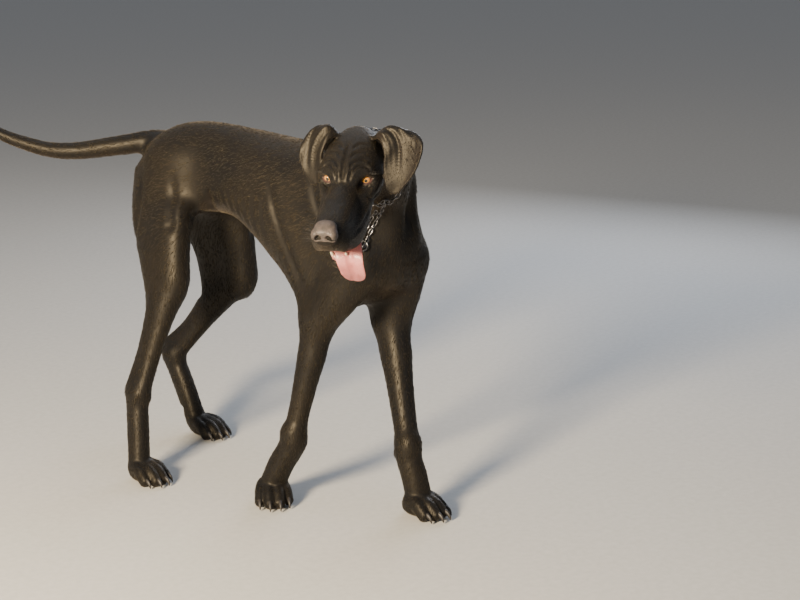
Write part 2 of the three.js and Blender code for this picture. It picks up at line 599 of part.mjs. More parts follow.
// Opening between the lids, wider towards the outside
function lidOpening(s) {
  const { look, out } = gaze(s);
  const at = (d) => add(eyeCentre(s), mul(look, d));
  return bar([[at(4), 8, 5], [at(12), 10, 6], [at(20), 14, 9], [at(30), 18, 12]], out, 8);
}
function lidSolids(s) {
  const { look, out, up } = gaze(s);
  const lid = (lift, r, w) => {
    const rows = [];
    for (let i = 0; i <= 5; i++) {
      const a = rad(-68 + (136 * i) / 5);
      const b = rad(lift * Math.cos(a * 1.25));
      const way = add(mul(look, Math.cos(a) * Math.cos(b)), add(mul(out, Math.sin(a) * Math.cos(b)), mul(up, Math.sin(b))));
      rows.push([add(eyeCentre(s), mul(way, EYE_RADIUS + r)), w, w * 0.8]);
    }
    return bar(rows, look, 5);
  };
  return [lid(34, 0.4, 3.4), lid(-30, 0.2, 3)];
}
function lipSolid(s) {
  return bar([[head(14, s * 45, -54), 4, 5], [head(36, s * 50, -70), 4, 5], [head(75, s * 48, -82), 4, 5],
    [head(112, s * 41, -84), 4, 5], [head(147, s * 27, -66), 4, 5], [head(164, s * 13, -50), 4, 4]], LEFT, 5);
}
function noseParts() {
  const face = { along: FACE, side: LEFT };
  const parts = [ball(head(174, 0, -7), [23.5, 16, 18], { ...face, n: 2.5, k: 8 }),
    ball(head(163, 0, 4), [21, 15, 10], { ...face, n: 2.3, k: 10 }),
    ball(head(171, 0, -25), [10, 12, 13], { ...face, k: 8 })];
  for (const s of [1, -1]) {
    parts.push(ball(head(180, s * 17, -5), [10, 12, 13], { ...face, k: 5 }));
    parts.push(hollow(ball(head(194, s * 10.5, -5), [5, 12, 5], { ...face, k: 3 })));
  }
  return parts;
}

function tongueSolid() {
  return bar([[jaw(92, 0, 4), 20, 5], [jaw(130, 4, 11), 24, 5], [jaw(165, 12, 13), 27, 5], [jaw(190, 19, 7), 29, 5],
    [jaw(203, 23, -12), 29, 5], [jaw(206, 25, -36), 26, 5], [jaw(204, 25, -54), 18, 4.5], [jaw(202, 25, -63), 8, 3]],
  LEFT, 10);
}
// Front teeth and the two lower canines on one ridge of gum
const GUM = [[168, -19, 1], [192, -14, 4], [201, 0, 5], [192, 14, 4], [168, 19, 1]];
function teethSolid() {
  let row = bar(GUM.map((q) => [jaw(...q), 5, 4]), JAW_UP, 5);
  const tooth = (a, b, tall, w) => bar([[jaw(a, b, 3), w, w], [jaw(a + 1, b, 6 + tall * 0.5), w * 0.8, w * 0.8],
    [jaw(a, b, 6 + tall), w * 0.25, w * 0.25]], LEFT, 4);
  for (const b of [-9, -5.4, -1.8, 1.8, 5.4, 9]) row = row.add(tooth(200 - b * b * 0.05, b, 6, 1.9));
  for (const s of [1, -1]) row = row.add(tooth(190, s * 15.5, 16, 3.4));
  return biggest(row);
}
// Room round the teeth that the tongue leaves free
function teethRoom() {
  const rows = GUM.map(([a, b, c]) => [jaw(a === 168 ? a - 3 : a, b, c), 14, 8]);
  let room = bar(rows, JAW_UP, 6);
  for (const s of [1, -1]) room = room.add(bar([[jaw(190, s * 15.5, -4), 5.5, 5.5], [jaw(190, s * 15.5, 25), 5.5, 5.5]], LEFT, 6));
  return room;
}

// Claws: one at the end of each toe
function clawSolid({ paw, toes }, size, i) {
  const { l, at } = pawFrame(paw, toes, size);
  const [b, a] = TOES[i];
  const rows = [[at(a + 30, b * 1.05, 17), 3.6, 4.6], [at(a + 38, b * 1.07, 15), 3.3, 4.2],
    [at(a + 43, b * 1.08, 10.5), 2.4, 3], [at(a + 45, b * 1.09, 5), 1, 1.2]];
  return bar(rows, l, 5);
}

// Chain of welded links lying round the neck
const CHAIN_AT = [-40, -434, 786];
const CHAIN_WAY = unit([-0.8, -0.6, 0.05]);
const CHAIN_END = [[-28, -450, 728], [-13, -424, 703], [-9, -403, 678], [-16, -389, 650], [-22, -378, 622]];
const CHAIN_TURN = [[-30, -376, 622], [-32, -385, 648], [-24, -398, 676], [-20, -413, 700]];
const CHAIN_RING = 11;
const LINK = { pitch: 30, length: 16.5, width: 6.4, wire: 2.1, off: 8, hang: 11 };
function chainPath(parts) {
  const u = across([0, 0, 1], CHAIN_WAY);
  const v = cross(CHAIN_WAY, u);
  const points = [];
  for (let i = 0; i < 72; i++) {
    const g = (i / 72) * 2 * Math.PI;
    const way = add(mul(u, Math.cos(g)), mul(v, Math.sin(g)));
    let r = 20;
    while (flesh(parts, add(CHAIN_AT, mul(way, r))) < LINK.off) r += 1;
    points.push(add(CHAIN_AT, mul(way, r)));
  }
  return points;
}
function linkSolid(c, along, flat, s = LINK) {
  const t = unit(along);
  const u = across(flat, t);
  const n = cross(t, u);
  const rings = [];
  const turns = 6;
  const straight = s.length - s.width;
  for (let i = 0; i < turns; i++) {
    const g = ((i + 0.5) / turns) * 2 * Math.PI;
    const x = Math.cos(g) * s.width + Math.sign(Math.cos(g)) * straight;
    const p = add(c, add(mul(t, x), mul(u, Math.sin(g) * s.width)));
    const out = unit(add(mul(t, Math.cos(g)), mul(u, Math.sin(g))));
    rings.push([0, 1, 2].map((q) => {
      const a = (q / 3) * 2 * Math.PI + Math.PI / 3;
      return add(p, add(mul(out, Math.cos(a) * s.wire * 1.2), mul(n, Math.sin(a) * s.wire * 1.2)));
    }));
  }
  const coords = rings.flat(2);
  const tris = [];
  for (let i = 0; i < turns; i++) {
    for (let j = 0; j < 3; j++) {
      const a = i * 3 + j;
      const b = i * 3 + ((j + 1) % 3);
      const d = ((i + 1) % turns) * 3;
      tris.push(a, b, d + ((j + 1) % 3), a, d + ((j + 1) % 3), d + j);
    }
  }
  const solid = fromArrays(coords, tris);
  if (solid.volume() > 0) return solid;
  const turned = [];
  for (let i = 0; i < tris.length; i += 3) turned.push(tris[i], tris[i + 2], tris[i + 1]);
  return fromArrays(coords, turned);
}
// A point brought to lie on the coat
function laid(parts, p, off) {
  const e = 0.5;
  let q = p;
  for (let turn = 0; turn < 5; turn++) {
    const slope = [[e, 0, 0], [0, e, 0], [0, 0, e]].map((d) => (flesh(parts, add(q, d)) - flesh(parts, sub(q, d))) / (2 * e));
    q = sub(q, mul(unit(slope), flesh(parts, q) - off));
  }
  return q;
}
// Links in a row along an open path
function strandSolid(parts, knots) {
  const fine = Array.from({ length: 61 }, (_, i) => laid(parts, smoothRow(knots, (i / 60) * (knots.length - 1)), LINK.hang));
  const run = [0];
  for (let i = 1; i < fine.length; i++) run.push(run[i - 1] + Math.hypot(...sub(fine[i], fine[i - 1])));
  const total = run[60];
  const count = Math.round(total / LINK.pitch);
  const size = { ...LINK, length: (total / count + 3) / 2 };
  const place = (d) => {
    let i = 0;
    while (i < 59 && run[i + 1] < d) i++;
    return mix(fine[i], fine[i + 1], (d - run[i]) / (run[i + 1] - run[i]));
  };
  let strand = null;
  for (let i = 0; i <= count; i++) {
    const at = (total * i) / count;
    const along = sub(place(at + 4), place(at - 4));
    const out = sub(laid(parts, place(at), LINK.hang + 3), place(at));
    const other = cross(unit(along), unit(out));
    const link = linkSolid(place(at), along, add(mul(unit(out), i % 2 ? 0.7 : -0.7), mul(other, 0.7)), size);
    strand = strand ? strand.add(link) : link;
  }
  return strand;
}
function chainSolid(parts) {
  const path = chainPath(parts);
  const run = [0];
  path.forEach((p, i) => run.push(run[i] + Math.hypot(...sub(path[(i + 1) % path.length], p))));
  const total = run[path.length];
  const count = 2 * Math.round(total / LINK.pitch / 2);
  const place = (at) => {
    const d = ((at % total) + total) % total;
    let i = 0;
    while (run[i + 1] < d) i++;
    return mix(path[i], path[(i + 1) % path.length], (d - run[i]) / (run[i + 1] - run[i]));
  };
  let chain = null;
  for (let i = 0; i < count; i++) {
    const at = (total * i) / count;
    const c = place(at);
    const along = sub(place(at + 5), place(at - 5));
    const out = across(sub(c, CHAIN_AT), unit(along));
    const other = cross(unit(along), out);
    const flat = add(mul(out, i % 2 ? 0.7 : -0.7), mul(other, 0.7));
    const link = linkSolid(c, along, flat);
    chain = chain ? chain.add(link) : link;
  }
  chain = chain.add(strandSolid(parts, CHAIN_END)).add(strandSolid(parts, CHAIN_TURN));
  const low = laid(parts, mix(CHAIN_END.at(-1), CHAIN_TURN[0], 0.5), LINK.hang);
  const pin = mul(unit(sub(CHAIN_TURN[0], CHAIN_END.at(-1))), CHAIN_RING + 2);
  const top = laid(parts, CHAIN_END[0], LINK.hang);
  const near = path.reduce((a, b) => (Math.hypot(...sub(a, top)) < Math.hypot(...sub(b, top)) ? a : b));
  const hook = mul(unit(sub(path[(path.indexOf(near) + 1) % path.length], near)), LINK.length);
  chain = chain.add(bar([[add(low, pin), 2.6, 2.6], [sub(low, pin), 2.6, 2.6]], [0, 1, 0], 5));
  chain = chain.add(bar([[add(near, hook), 3, 4], [mix(near, top, 0.5), 5, 6], [sub(top, hook), 3, 4]], [0, 0, 1], 6));
  const ring = { length: CHAIN_RING, width: CHAIN_RING, wire: LINK.wire };
  return biggest(chain.add(linkSolid(low, [0.3, 0, -1], sub(laid(parts, low, LINK.hang + 5), low), ring)));
}

// Everything put together
const skin = new THREE.MeshStandardMaterial({ color: new THREE.Color(0.036, 0.033, 0.034), roughness: 0.5, metalness: 0 });
const leather = new THREE.MeshStandardMaterial({ color: new THREE.Color(0.05, 0.042, 0.04), roughness: 0.45, metalness: 0 });
const amber = new THREE.MeshStandardMaterial({ color: new THREE.Color(0.42, 0.17, 0.03), roughness: 0.12, metalness: 0 });
const pink = new THREE.MeshStandardMaterial({ color: new THREE.Color(0.72, 0.33, 0.33), roughness: 0.35, metalness: 0 });
const ivory = new THREE.MeshStandardMaterial({ color: new THREE.Color(0.78, 0.72, 0.6), roughness: 0.3, metalness: 0 });
const horn = new THREE.MeshStandardMaterial({ color: new THREE.Color(0.03, 0.026, 0.024), roughness: 0.35, metalness: 0 });
const steel = new THREE.MeshStandardMaterial({ color: new THREE.Color(0.35, 0.35, 0.37), roughness: 0.3, metalness: 1 });

const dog = new THREE.Group();
dog.name = 'great_dane';
function put(name, solid, material) {
  const m = solid.getMesh();
  const g = new THREE.BufferGeometry();
  g.setAttribute('position', new THREE.BufferAttribute(new Float32Array(m.vertProperties), 3));
  g.setIndex(Array.from(m.triVerts));
  g.computeVertexNormals();
  const mesh = new THREE.Mesh(g, material);
  mesh.name = name;
  dog.add(mesh);
}
const without = (solid, ...others) => others.reduce((a, b) => a.subtract(b), solid);
const boxOf = (parts, pad) => {
  const low = [0, 1, 2].map((a) => Math.min(...parts.map((q) => q.low[a])) - pad);
  const high = [0, 1, 2].map((a) => Math.max(...parts.map((q) => q.high[a])) + pad);
  return [low, high];
};

const body = [...trunkParts(), ...Object.values(FORE).flatMap(foreParts), ...Object.values(HIND).flatMap(hindParts)];
const tail = tube(TAIL, { side: [0, 0, 1], k: 18 });
const skull = skullParts();
const feet = {
  paw_fore_right: [FORE.right, FORE_PAW], paw_fore_left: [FORE.left, FORE_PAW],
  paw_hind_right: [HIND.right, HIND_PAW], paw_hind_left: [HIND.left, HIND_PAW],
};
const everything = [...body, tail, ...skull, ...Object.values(feet).flatMap(([leg, size]) => pawParts(leg, size))];

// Planes where the parts meet
const NECK_BASE = { p: [60, -318, 730], n: unit([-0.05, -0.75, 0.66]) };
const HEAD_BASE = { p: head(-118, 0, 0), n: unit(add(mul(FACE, 0.93), mul(CROWN, 0.366))) };
const TAIL_BASE = { p: [8, 428, 757], n: unit([-0.69, 0.72, -0.05]) };
const ANKLE = 64;
const SHANK_TOP = 60;
const beyond = ({ p, n }, by = 0) => half(shifted(p, n, by), n);
const before = ({ p, n }, by = 0) => half(shifted(p, n, -by), mul(n, -1));
const armpit = ({ s, elbow }) => ({ p: add(elbow, [-s * 38, 0, 10]), n: unit([s * 0.8, 0, -0.6]) });
const groin = ({ s }) => [
  { p: [spine(330) + s * 4, 330, 598], n: unit([s * 0.62, 0, -0.785]) },
  { p: [0, 130, 520], n: unit([0, 0.8, -0.6]) },
  { p: [spine(330), 330, 598], n: [s, 0, 0] },
];

let torso = solidOf(everything, [-120, -460, 395], [240, 470, 870], STEP_TORSO);
torso = torso.intersect(before(NECK_BASE, GAP / 2));
torso = torso.subtract(beyond(TAIL_BASE, -GAP / 2).intersect(half([0, 0, 690], [0, 0, 1])));
for (const leg of Object.values(FORE)) torso = torso.subtract(beyond(armpit(leg), -GAP / 2));
for (const leg of Object.values(HIND)) {
  const [a, b] = groin(leg);
  torso = torso.subtract(beyond(a, -GAP / 2).intersect(beyond(b, -GAP / 2)));
}
put('torso', biggest(torso), skin);

const neckSolid = biggest(solidOf(everything, [-190, -560, 610], [190, -180, 940], STEP_NECK)
  .intersect(beyond(NECK_BASE, GAP / 2)).intersect(before(HEAD_BASE, GAP / 2)));
put('neck', neckSolid, skin);

const noseSolid = solidOf(noseParts(), ...boxOf(noseParts(), 8), STEP_NOSE);
const [headLow, headHigh] = boxOf(skull, 16);
let headSolid = biggest(solidOf(everything, headLow, headHigh, STEP_HEAD).intersect(beyond(HEAD_BASE, GAP / 2)));
for (const s of [1, -1]) {
  headSolid = headSolid.subtract(lidOpening(s));
  for (const lid of lidSolids(s)) headSolid = headSolid.add(lid);
  headSolid = headSolid.add(lipSolid(s));
}
headSolid = without(headSolid, eyeSolid(1, EYE_RADIUS + GAP), eyeSolid(-1, EYE_RADIUS + GAP), grown(noseSolid, GAP));
headSolid = biggest(headSolid);
put('head', headSolid, skin);
put('nose', noseSolid, leather);
put('eye_left', eyeSolid(1, EYE_RADIUS), amber);
put('eye_right', eyeSolid(-1, EYE_RADIUS), amber);
const headRoom = grown(headSolid, GAP);
for (const [side, ear] of Object.entries(EARS)) {
  put(`ear_${side}`, biggest(earSolid(ear).subtract(headRoom).subtract(grown(neckSolid, GAP))), skin);
}
const jawSolid = biggest(solidOf(jawParts(), ...boxOf(jawParts(), 12), STEP_JAW).subtract(headRoom)
  .subtract(grown(neckSolid, GAP)));
put('jaw_lower', jawSolid, skin);
const teeth = biggest(teethSolid().subtract(grown(jawSolid, GAP)).subtract(headRoom));
put('teeth_lower', teeth, ivory);
put('tongue', biggest(tongueSolid().subtract(grown(jawSolid, GAP)).subtract(headRoom)
  .subtract(teethRoom())), pink);

const tailRows = Array.from({ length: TAIL_RINGS }, (_, i) => smoothRow(TAIL, 1 + (i / (TAIL_RINGS - 1)) * (TAIL.length - 2)));
put('tail', biggest(bar(tailRows.map(([x, y, z, w, h]) => [[x, y, z], w, h]), [0, 0, 1], 12)
  .intersect(beyond(TAIL_BASE, GAP / 2))), skin);

// An upper leg and, from above the wrist or hock down, a more finely shaped lower leg
function putLeg(name, upper, joint, spots) {
  const cut = joint[2] + SHANK_TOP;
  put(`leg_${name}`, biggest(upper.intersect(half([0, 0, cut + GAP / 2], [0, 0, 1]))), skin);
  const low = [Math.min(...spots.map((q) => q[0])) - 52, Math.min(...spots.map((q) => q[1])) - 60, ANKLE - 30];
  const high = [Math.max(...spots.map((q) => q[0])) + 52, Math.max(...spots.map((q) => q[1])) + 66, cut + 30];
  const lower = solidOf(everything, low, high, STEP_SHANK).intersect(half([0, 0, cut - GAP / 2], [0, 0, -1]));
  put(`shank_${name}`, biggest(lower.intersect(half([0, 0, ANKLE + GAP / 2], [0, 0, 1]))), skin);
}

for (const [side, leg] of Object.entries(FORE)) {
  const spots = [leg.elbow, leg.wrist, leg.paw];
  const low = [Math.min(...spots.map((q) => q[0])) - 75, Math.min(...spots.map((q) => q[1])) - 85, 25];
  const high = [Math.max(...spots.map((q) => q[0])) + 75, Math.max(...spots.map((q) => q[1])) + 120, 560];
  const solid = solidOf(everything, low, high, STEP_LEG).intersect(beyond(armpit(leg), GAP / 2));
  putLeg(`fore_${side}`, solid, leg.wrist, [leg.wrist, leg.ankle, mix(leg.elbow, leg.wrist, 0.7)]);
}
for (const [side, leg] of Object.entries(HIND)) {
  const spots = [leg.hip, leg.knee, leg.hock, leg.paw];
  const low = [Math.min(...spots.map((q) => q[0])) - 70, Math.min(...spots.map((q) => q[1])) - 90, 25];
  const high = [Math.max(...spots.map((q) => q[0])) + 80, Math.max(...spots.map((q) => q[1])) + 130, 780];
  let solid = solidOf(everything, low, high, STEP_THIGH);
  for (const plane of groin(leg)) solid = solid.intersect(beyond(plane, GAP / 2));
  putLeg(`hind_${side}`, solid, leg.hock, [leg.hock, leg.ankle, mix(leg.knee, leg.hock, 0.8)]);
}
for (const [name, [leg, size]] of Object.entries(feet)) {
  const [low, high] = boxOf(pawParts(leg, size), 12);
  let solid = solidOf(everything, low, [high[0], high[1], ANKLE + 30], STEP_PAW);
  solid = solid.intersect(half([0, 0, ANKLE - GAP / 2], [0, 0, -1])).intersect(half([0, 0, SOLE_CUT], [0, 0, 1]));
  solid = biggest(solid);
  put(name, solid, skin);
  const room = grown(solid, GAP);
  TOES.forEach((_, i) => {
    const claw = clawSolid(leg, size, i).subtract(room).intersect(half([0, 0, SOLE_CUT + 0.4], [0, 0, 1]));
    put(`${name.replace('paw', 'claw')}_${i + 1}`, biggest(claw), horn);
  });
}

put('collar_chain', chainSolid(everything), steel);

// Origin under the middle of the dog, on the ground
const bounds = new THREE.Box3().setFromObject(dog);
const centre = bounds.getCenter(new THREE.Vector3());
for (const mesh of dog.children) mesh.geometry.translate(-centre.x, -centre.y, -bounds.min.z);

export default dog;
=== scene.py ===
import bpy
import bmesh
import math
import numpy as np
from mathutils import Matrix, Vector
from mathutils.bvhtree import BVHTree


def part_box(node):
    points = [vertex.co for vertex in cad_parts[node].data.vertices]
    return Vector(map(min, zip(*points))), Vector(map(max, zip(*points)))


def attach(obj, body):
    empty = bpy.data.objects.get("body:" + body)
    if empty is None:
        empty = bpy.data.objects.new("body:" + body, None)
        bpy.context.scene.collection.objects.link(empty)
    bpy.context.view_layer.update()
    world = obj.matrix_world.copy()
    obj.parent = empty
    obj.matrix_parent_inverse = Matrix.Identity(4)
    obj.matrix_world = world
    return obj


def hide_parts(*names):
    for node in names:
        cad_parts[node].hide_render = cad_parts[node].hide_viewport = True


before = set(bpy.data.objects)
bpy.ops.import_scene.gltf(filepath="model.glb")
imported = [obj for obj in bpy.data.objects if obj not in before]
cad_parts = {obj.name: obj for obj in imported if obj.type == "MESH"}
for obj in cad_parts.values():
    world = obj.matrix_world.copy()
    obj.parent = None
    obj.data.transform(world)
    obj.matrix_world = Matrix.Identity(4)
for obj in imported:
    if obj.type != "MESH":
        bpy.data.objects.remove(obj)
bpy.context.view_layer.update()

# Sizes in millimetres, in the dog's own frame: the trunk faces -Y, its left side is +X
COAT_DEPTH = 1.6
EYE_RADIUS = 12.5
EYE_SIDE = 38.0
HEAD_PITCH = math.radians(25.7)
JAW_OPEN = math.radians(21.0)
# Spacing of the grids on which the skin is meshed
STEP_BODY = 7.0
STEP_PAW = 3.4
STEP_FACE = 1.6
STEP_NOSE = 1.25


def unit(v):
    v = np.asarray(v, float)
    return v / np.linalg.norm(v)


def vec(*v):
    return np.array(v, float)


# The point between the eyes, and the directions in which the turned head looks
EYES = vec(-206, -516, 812)
TURN = unit((-0.862, -0.5, 0))
LEFT = vec(-TURN[1], TURN[0], 0)
UP = vec(0, 0, 1)
FACE = TURN * math.cos(HEAD_PITCH) - UP * math.sin(HEAD_PITCH)
CROWN = UP * math.cos(HEAD_PITCH) + TURN * math.sin(HEAD_PITCH)
JAW_WAY = FACE * math.cos(JAW_OPEN) - CROWN * math.sin(JAW_OPEN)
JAW_UP = CROWN * math.cos(JAW_OPEN) + FACE * math.sin(JAW_OPEN)


def head(a, b, c):
    """Point of the head: forward, left and up from between the eyes."""
    return EYES + a * FACE + b * LEFT + c * CROWN


def from_head(q):
    """Many points of the head at once."""
    return EYES + q[:, :1] * FACE + q[:, 1:2] * LEFT + q[:, 2:] * CROWN


JAW_HINGE = head(-70, 0, -46)


def jaw(a, b, c):
    """Point of the dropped lower jaw: forward, left and up from its hinge."""
    return JAW_HINGE + a * JAW_WAY + b * LEFT + c * JAW_UP


def spine(y):
    """Where the middle line of the trunk lies."""
    return 57 - 0.03 * y


# Joints of the legs; w widens a foreleg, calf sets the back of the thigh off the knee
FORE = {
    "right": dict(s=-1, w=1.03, shoulder=vec(spine(-370) - 80, -360, 580), elbow=vec(-25, -240, 434),
                  wrist=vec(-70, -200, 163), paw=vec(-93, -152, 0), ankle=vec(-87, -144, 44),
                  toes=(-0.75, -1, 0)),
    "left": dict(s=1, w=1.14, shoulder=vec(spine(-380) + 66, -366, 572), elbow=vec(148, -296, 418),
                 wrist=vec(80, -415, 152), paw=vec(85, -456, 0), ankle=vec(85, -442, 44), toes=(0.05, -1, 0)),
}
HIND = {
    "right": dict(s=-1, hip=vec(-30, 285, 650), knee=vec(-94, 172, 482), hock=vec(-183, 216, 203),
                  calf=vec(0, 78, -22), paw=vec(-204, 166, 0), ankle=vec(-207, 192, 44), toes=(0, -1, 0)),
    "left": dict(s=1, hip=vec(128, 296, 650), knee=vec(166, 228, 438), hock=vec(104, 436, 202),
                 calf=vec(-8, 102, -10), paw=vec(119, 331, 0), ankle=vec(110, 366, 44), toes=(0.05, -1, 0)),
}
FORE_PAW = 1.15
HIND_PAW = 1.11
SOLE = 2.5

# The collar's ring round the neck, its loose end and the way back up of its second strand
CHAIN_AT = vec(-40, -434, 786)
CHAIN_WAY = unit((-0.8, -0.6, -0.16))
CHAIN_END = [[-28, -450, 728], [-13, -424, 703], [-9, -403, 678], [-16, -389, 650], [-22, -378, 622]]
CHAIN_TURN = [[-30, -376, 622], [-32, -385, 648], [-24, -398, 676], [-20, -413, 700]]
LINK_PITCH = 11.2
LINK_HALF = 7.2
LINK_OVERLAP = 1.6
TUFTS = 60000


def spline(rows, n):
    """Smooth curve through rows of numbers, read at n even steps."""
    p = np.asarray(rows, float)
    q = np.vstack([2 * p[0] - p[1], p, 2 * p[-1] - p[-2]])
    t = np.linspace(0, len(p) - 1, n)
    i = np.minimum(t.astype(int), len(p) - 2)
    f = (t - i)[:, None]
    a, b, c, d = q[i], q[i + 1], q[i + 2], q[i + 3]
    return 0.5 * (2 * b + (c - a) * f + (2 * a - 5 * b + 4 * c - d) * f * f
                  + (3 * b - a - 3 * c + d) * f ** 3)


class Tube:
    """A limb of flesh along a curve: rows of x, y, z, half width, upper half, lower half."""

    def __init__(self, rows, side=(1, 0, 0), n=2.0, k=20, caps=(0, 0)):
        fine = spline(rows, max(len(rows) * 12, 48))
        run = np.r_[0, np.cumsum(np.linalg.norm(np.diff(fine[:, :3], axis=0), axis=1))]
        m = max(len(rows) * 3, int(run[-1] / 12) + 2)
        at = np.linspace(0, run[-1], m)
        s = np.stack([np.interp(at, run, fine[:, i]) for i in range(6)], 1)
        self.c = s[:, :3]
        self.r = np.maximum(s[:, 3:6], 1.0)
        self.n, self.k, self.stride = n, k, at[1]
        t = np.empty_like(self.c)
        t[1:-1] = self.c[2:] - self.c[:-2]
        t[0], t[-1] = self.c[1] - self.c[0], self.c[-1] - self.c[-2]
        t /= np.linalg.norm(t, axis=1)[:, None]
        side = np.atleast_2d(np.asarray(side, float))
        if len(side) == 1:
            side = np.repeat(side, 2, axis=0)
        x = np.linspace(0, len(side) - 1, m)
        u = np.stack([np.interp(x, range(len(side)), side[:, i]) for i in range(3)], 1)
        u -= (u * t).sum(1)[:, None] * t
        u /= np.linalg.norm(u, axis=1)[:, None]
        self.t, self.u, self.v = t, u, np.cross(t, u)
        self.cap = (caps[0] or self.r[0].min(), caps[1] or self.r[-1].min())
        self.low = self.c.min(0) - self.r.max()
        self.high = self.c.max(0) + self.r.max()

    def value(self, p):
        best = ((p[:, None, :] - self.c[None]) ** 2).sum(2).argmin(1) if len(p) < 500 else self.nearest(p)
        slip = ((p - self.c[best]) * self.t[best]).sum(1) / self.stride
        at = np.clip(best + np.clip(slip, -0.5, 0.5), 0, len(self.c) - 1)
        i = np.minimum(at.astype(int), len(self.c) - 2)
        f = (at - i)[:, None]

        def mix(a):
            return a[i] * (1 - f) + a[i + 1] * f
        d = p - mix(self.c)
        r = mix(self.r)
        u = (d * mix(self.u)).sum(1)
        v = (d * mix(self.v)).sum(1)
        end = (at <= 0) | (at >= len(self.c) - 1)
        w = np.where(end, (d * mix(self.t)).sum(1), 0)
        cap = np.where(at <= 0, self.cap[0], self.cap[1])
        b = np.where(v > 0, r[:, 1], r[:, 2])
        n = self.n
        s = (np.abs(u / r[:, 0]) ** n + np.abs(v / b) ** n + np.abs(w / cap) ** n) ** (1 / n)
        far = np.sqrt(u * u + v * v + w * w)
        return np.where(far < 1e-6, -np.minimum(r[:, 0], b), far * (1 - 1 / np.maximum(s, 1e-4)))

    def nearest(self, p):
        out = np.empty(len(p), int)
        c = self.c.astype(np.float32)
        cc = (c ** 2).sum(1)
        for a in range(0, len(p), 100000):
            q = p[a:a + 100000].astype(np.float32)
            out[a:a + 100000] = (cc[None] - 2 * q @ c.T).argmin(1)
        return out


class Ball:
    """A swelling of flesh: axes are the half sizes across, along and through."""

    def __init__(self, c, axes, along=(0, 1, 0), side=(1, 0, 0), n=2.0, k=15):
        a = unit(along)
        b = np.asarray(side, float)
        b = unit(b - (b @ a) * a)
        self.m = np.stack([b, a, np.cross(b, a)])
        self.c, self.axes, self.n, self.k = np.asarray(c, float), np.asarray(axes, float), n, k
        self.low = self.c - self.axes.max()
        self.high = self.c + self.axes.max()

    def value(self, p):
        q = (p - self.c) @ self.m.T
        s = (np.abs(q / self.axes) ** self.n).sum(1) ** (1 / self.n)
        far = np.linalg.norm(q, axis=1)
        return np.where(far < 1e-6, -self.axes.min(), far * (1 - 1 / np.maximum(s, 1e-4)))


def smooth_min(a, b, k):
    h = np.maximum(k - np.abs(a - b), 0) / k
    return np.minimum(a, b) - h * h * k * 0.25


# Value of empty space, and how far outside its box a part still counts
OPEN = 60.0
NEAR = 25.0


def flesh(parts, p, start=None):
    """Signed value of the joined flesh at points p: negative inside."""
    f = np.full(len(p), OPEN) if start is None else start
    for part in parts:
        cut = isinstance(part, tuple)
        q = part[1] if cut else part
        near = np.all((p > q.low - q.k - NEAR) & (p < q.high + q.k + NEAR), axis=1)
        if not near.any():
            continue
        d = q.value(p[near])
        g = f[near]
        f[near] = -smooth_min(-g, d, q.k) if cut else smooth_min(g, d, q.k)
    return f


def ticks(spans):
    """Grid lines from spans of (end, step), the first being the start."""
    out = [spans[0]]
    for end, step in spans[1:]:
        n = max(1, int(round((end - out[-1]) / step)))
        out += list(out[-1] + (end - out[-1]) * (np.arange(n) + 1) / n)
    return np.array(out)


def untangle(F):
    """Turns the weakest corner wherever two corners of a grid face touch only across it."""
    for _ in range(12):
        turned = 0
        for a in range(3):
            b = (a + 1) % 3
            s = F < 0
            sl = []
            for da, db in ((0, 0), (1, 0), (1, 1), (0, 1)):
                q = [slice(None)] * 3
                q[a] = slice(da, F.shape[a] - 1 + da)
                q[b] = slice(db, F.shape[b] - 1 + db)
                sl.append(tuple(q))
            c = [s[q] for q in sl]
            bad = np.argwhere((c[0] == c[2]) & (c[1] == c[3]) & (c[0] != c[1]))
            for at in bad:
                face = []
                for da, db in ((0, 0), (1, 0), (1, 1), (0, 1)):
                    q = at.copy()
                    q[a] += da
                    q[b] += db
                    face.append(tuple(q))
                g = [F[q] for q in face]
                if (g[0] < 0) != (g[2] < 0) or (g[1] < 0) != (g[3] < 0) or (g[0] < 0) == (g[1] < 0):
                    continue
                weak = face[int(np.argmin(np.abs(g)))]
                F[weak] = 0.02 if F[weak] < 0 else -0.02
                turned += 1
        if not turned:
            return


def sample(value, X, to_world):
    """Field at every crossing of the grid lines, worked out in full only near the surface."""
    few = [np.unique(np.r_[np.arange(0, len(x), 3), len(x) - 1]) for x in X]

    def grid(lines):
        return np.stack(np.meshgrid(*lines, indexing="ij"), -1).reshape(-1, 3)
    rough = value(to_world(grid([x[i] for x, i in zip(X, few)]))).reshape([len(i) for i in few])
    near = [np.abs(np.arange(len(x))[:, None] - i[None]).argmin(1) for x, i in zip(X, few)]
    F = rough[np.ix_(*near)].copy()
    gap = [np.abs(x - x[i[n]]) for x, i, n in zip(X, few, near)]
    away = np.sqrt(gap[0][:, None, None] ** 2 + gap[1][None, :, None] ** 2 + gap[2][None, None, :] ** 2)
    here = np.argwhere(np.abs(F) < 1.5 * away + 4)
    for a in range(0, len(here), 200000):
        at = here[a:a + 200000]
        p = np.stack([X[d][at[:, d]] for d in range(3)], 1)
        F[tuple(at.T)] = value(to_world(p))
    return F


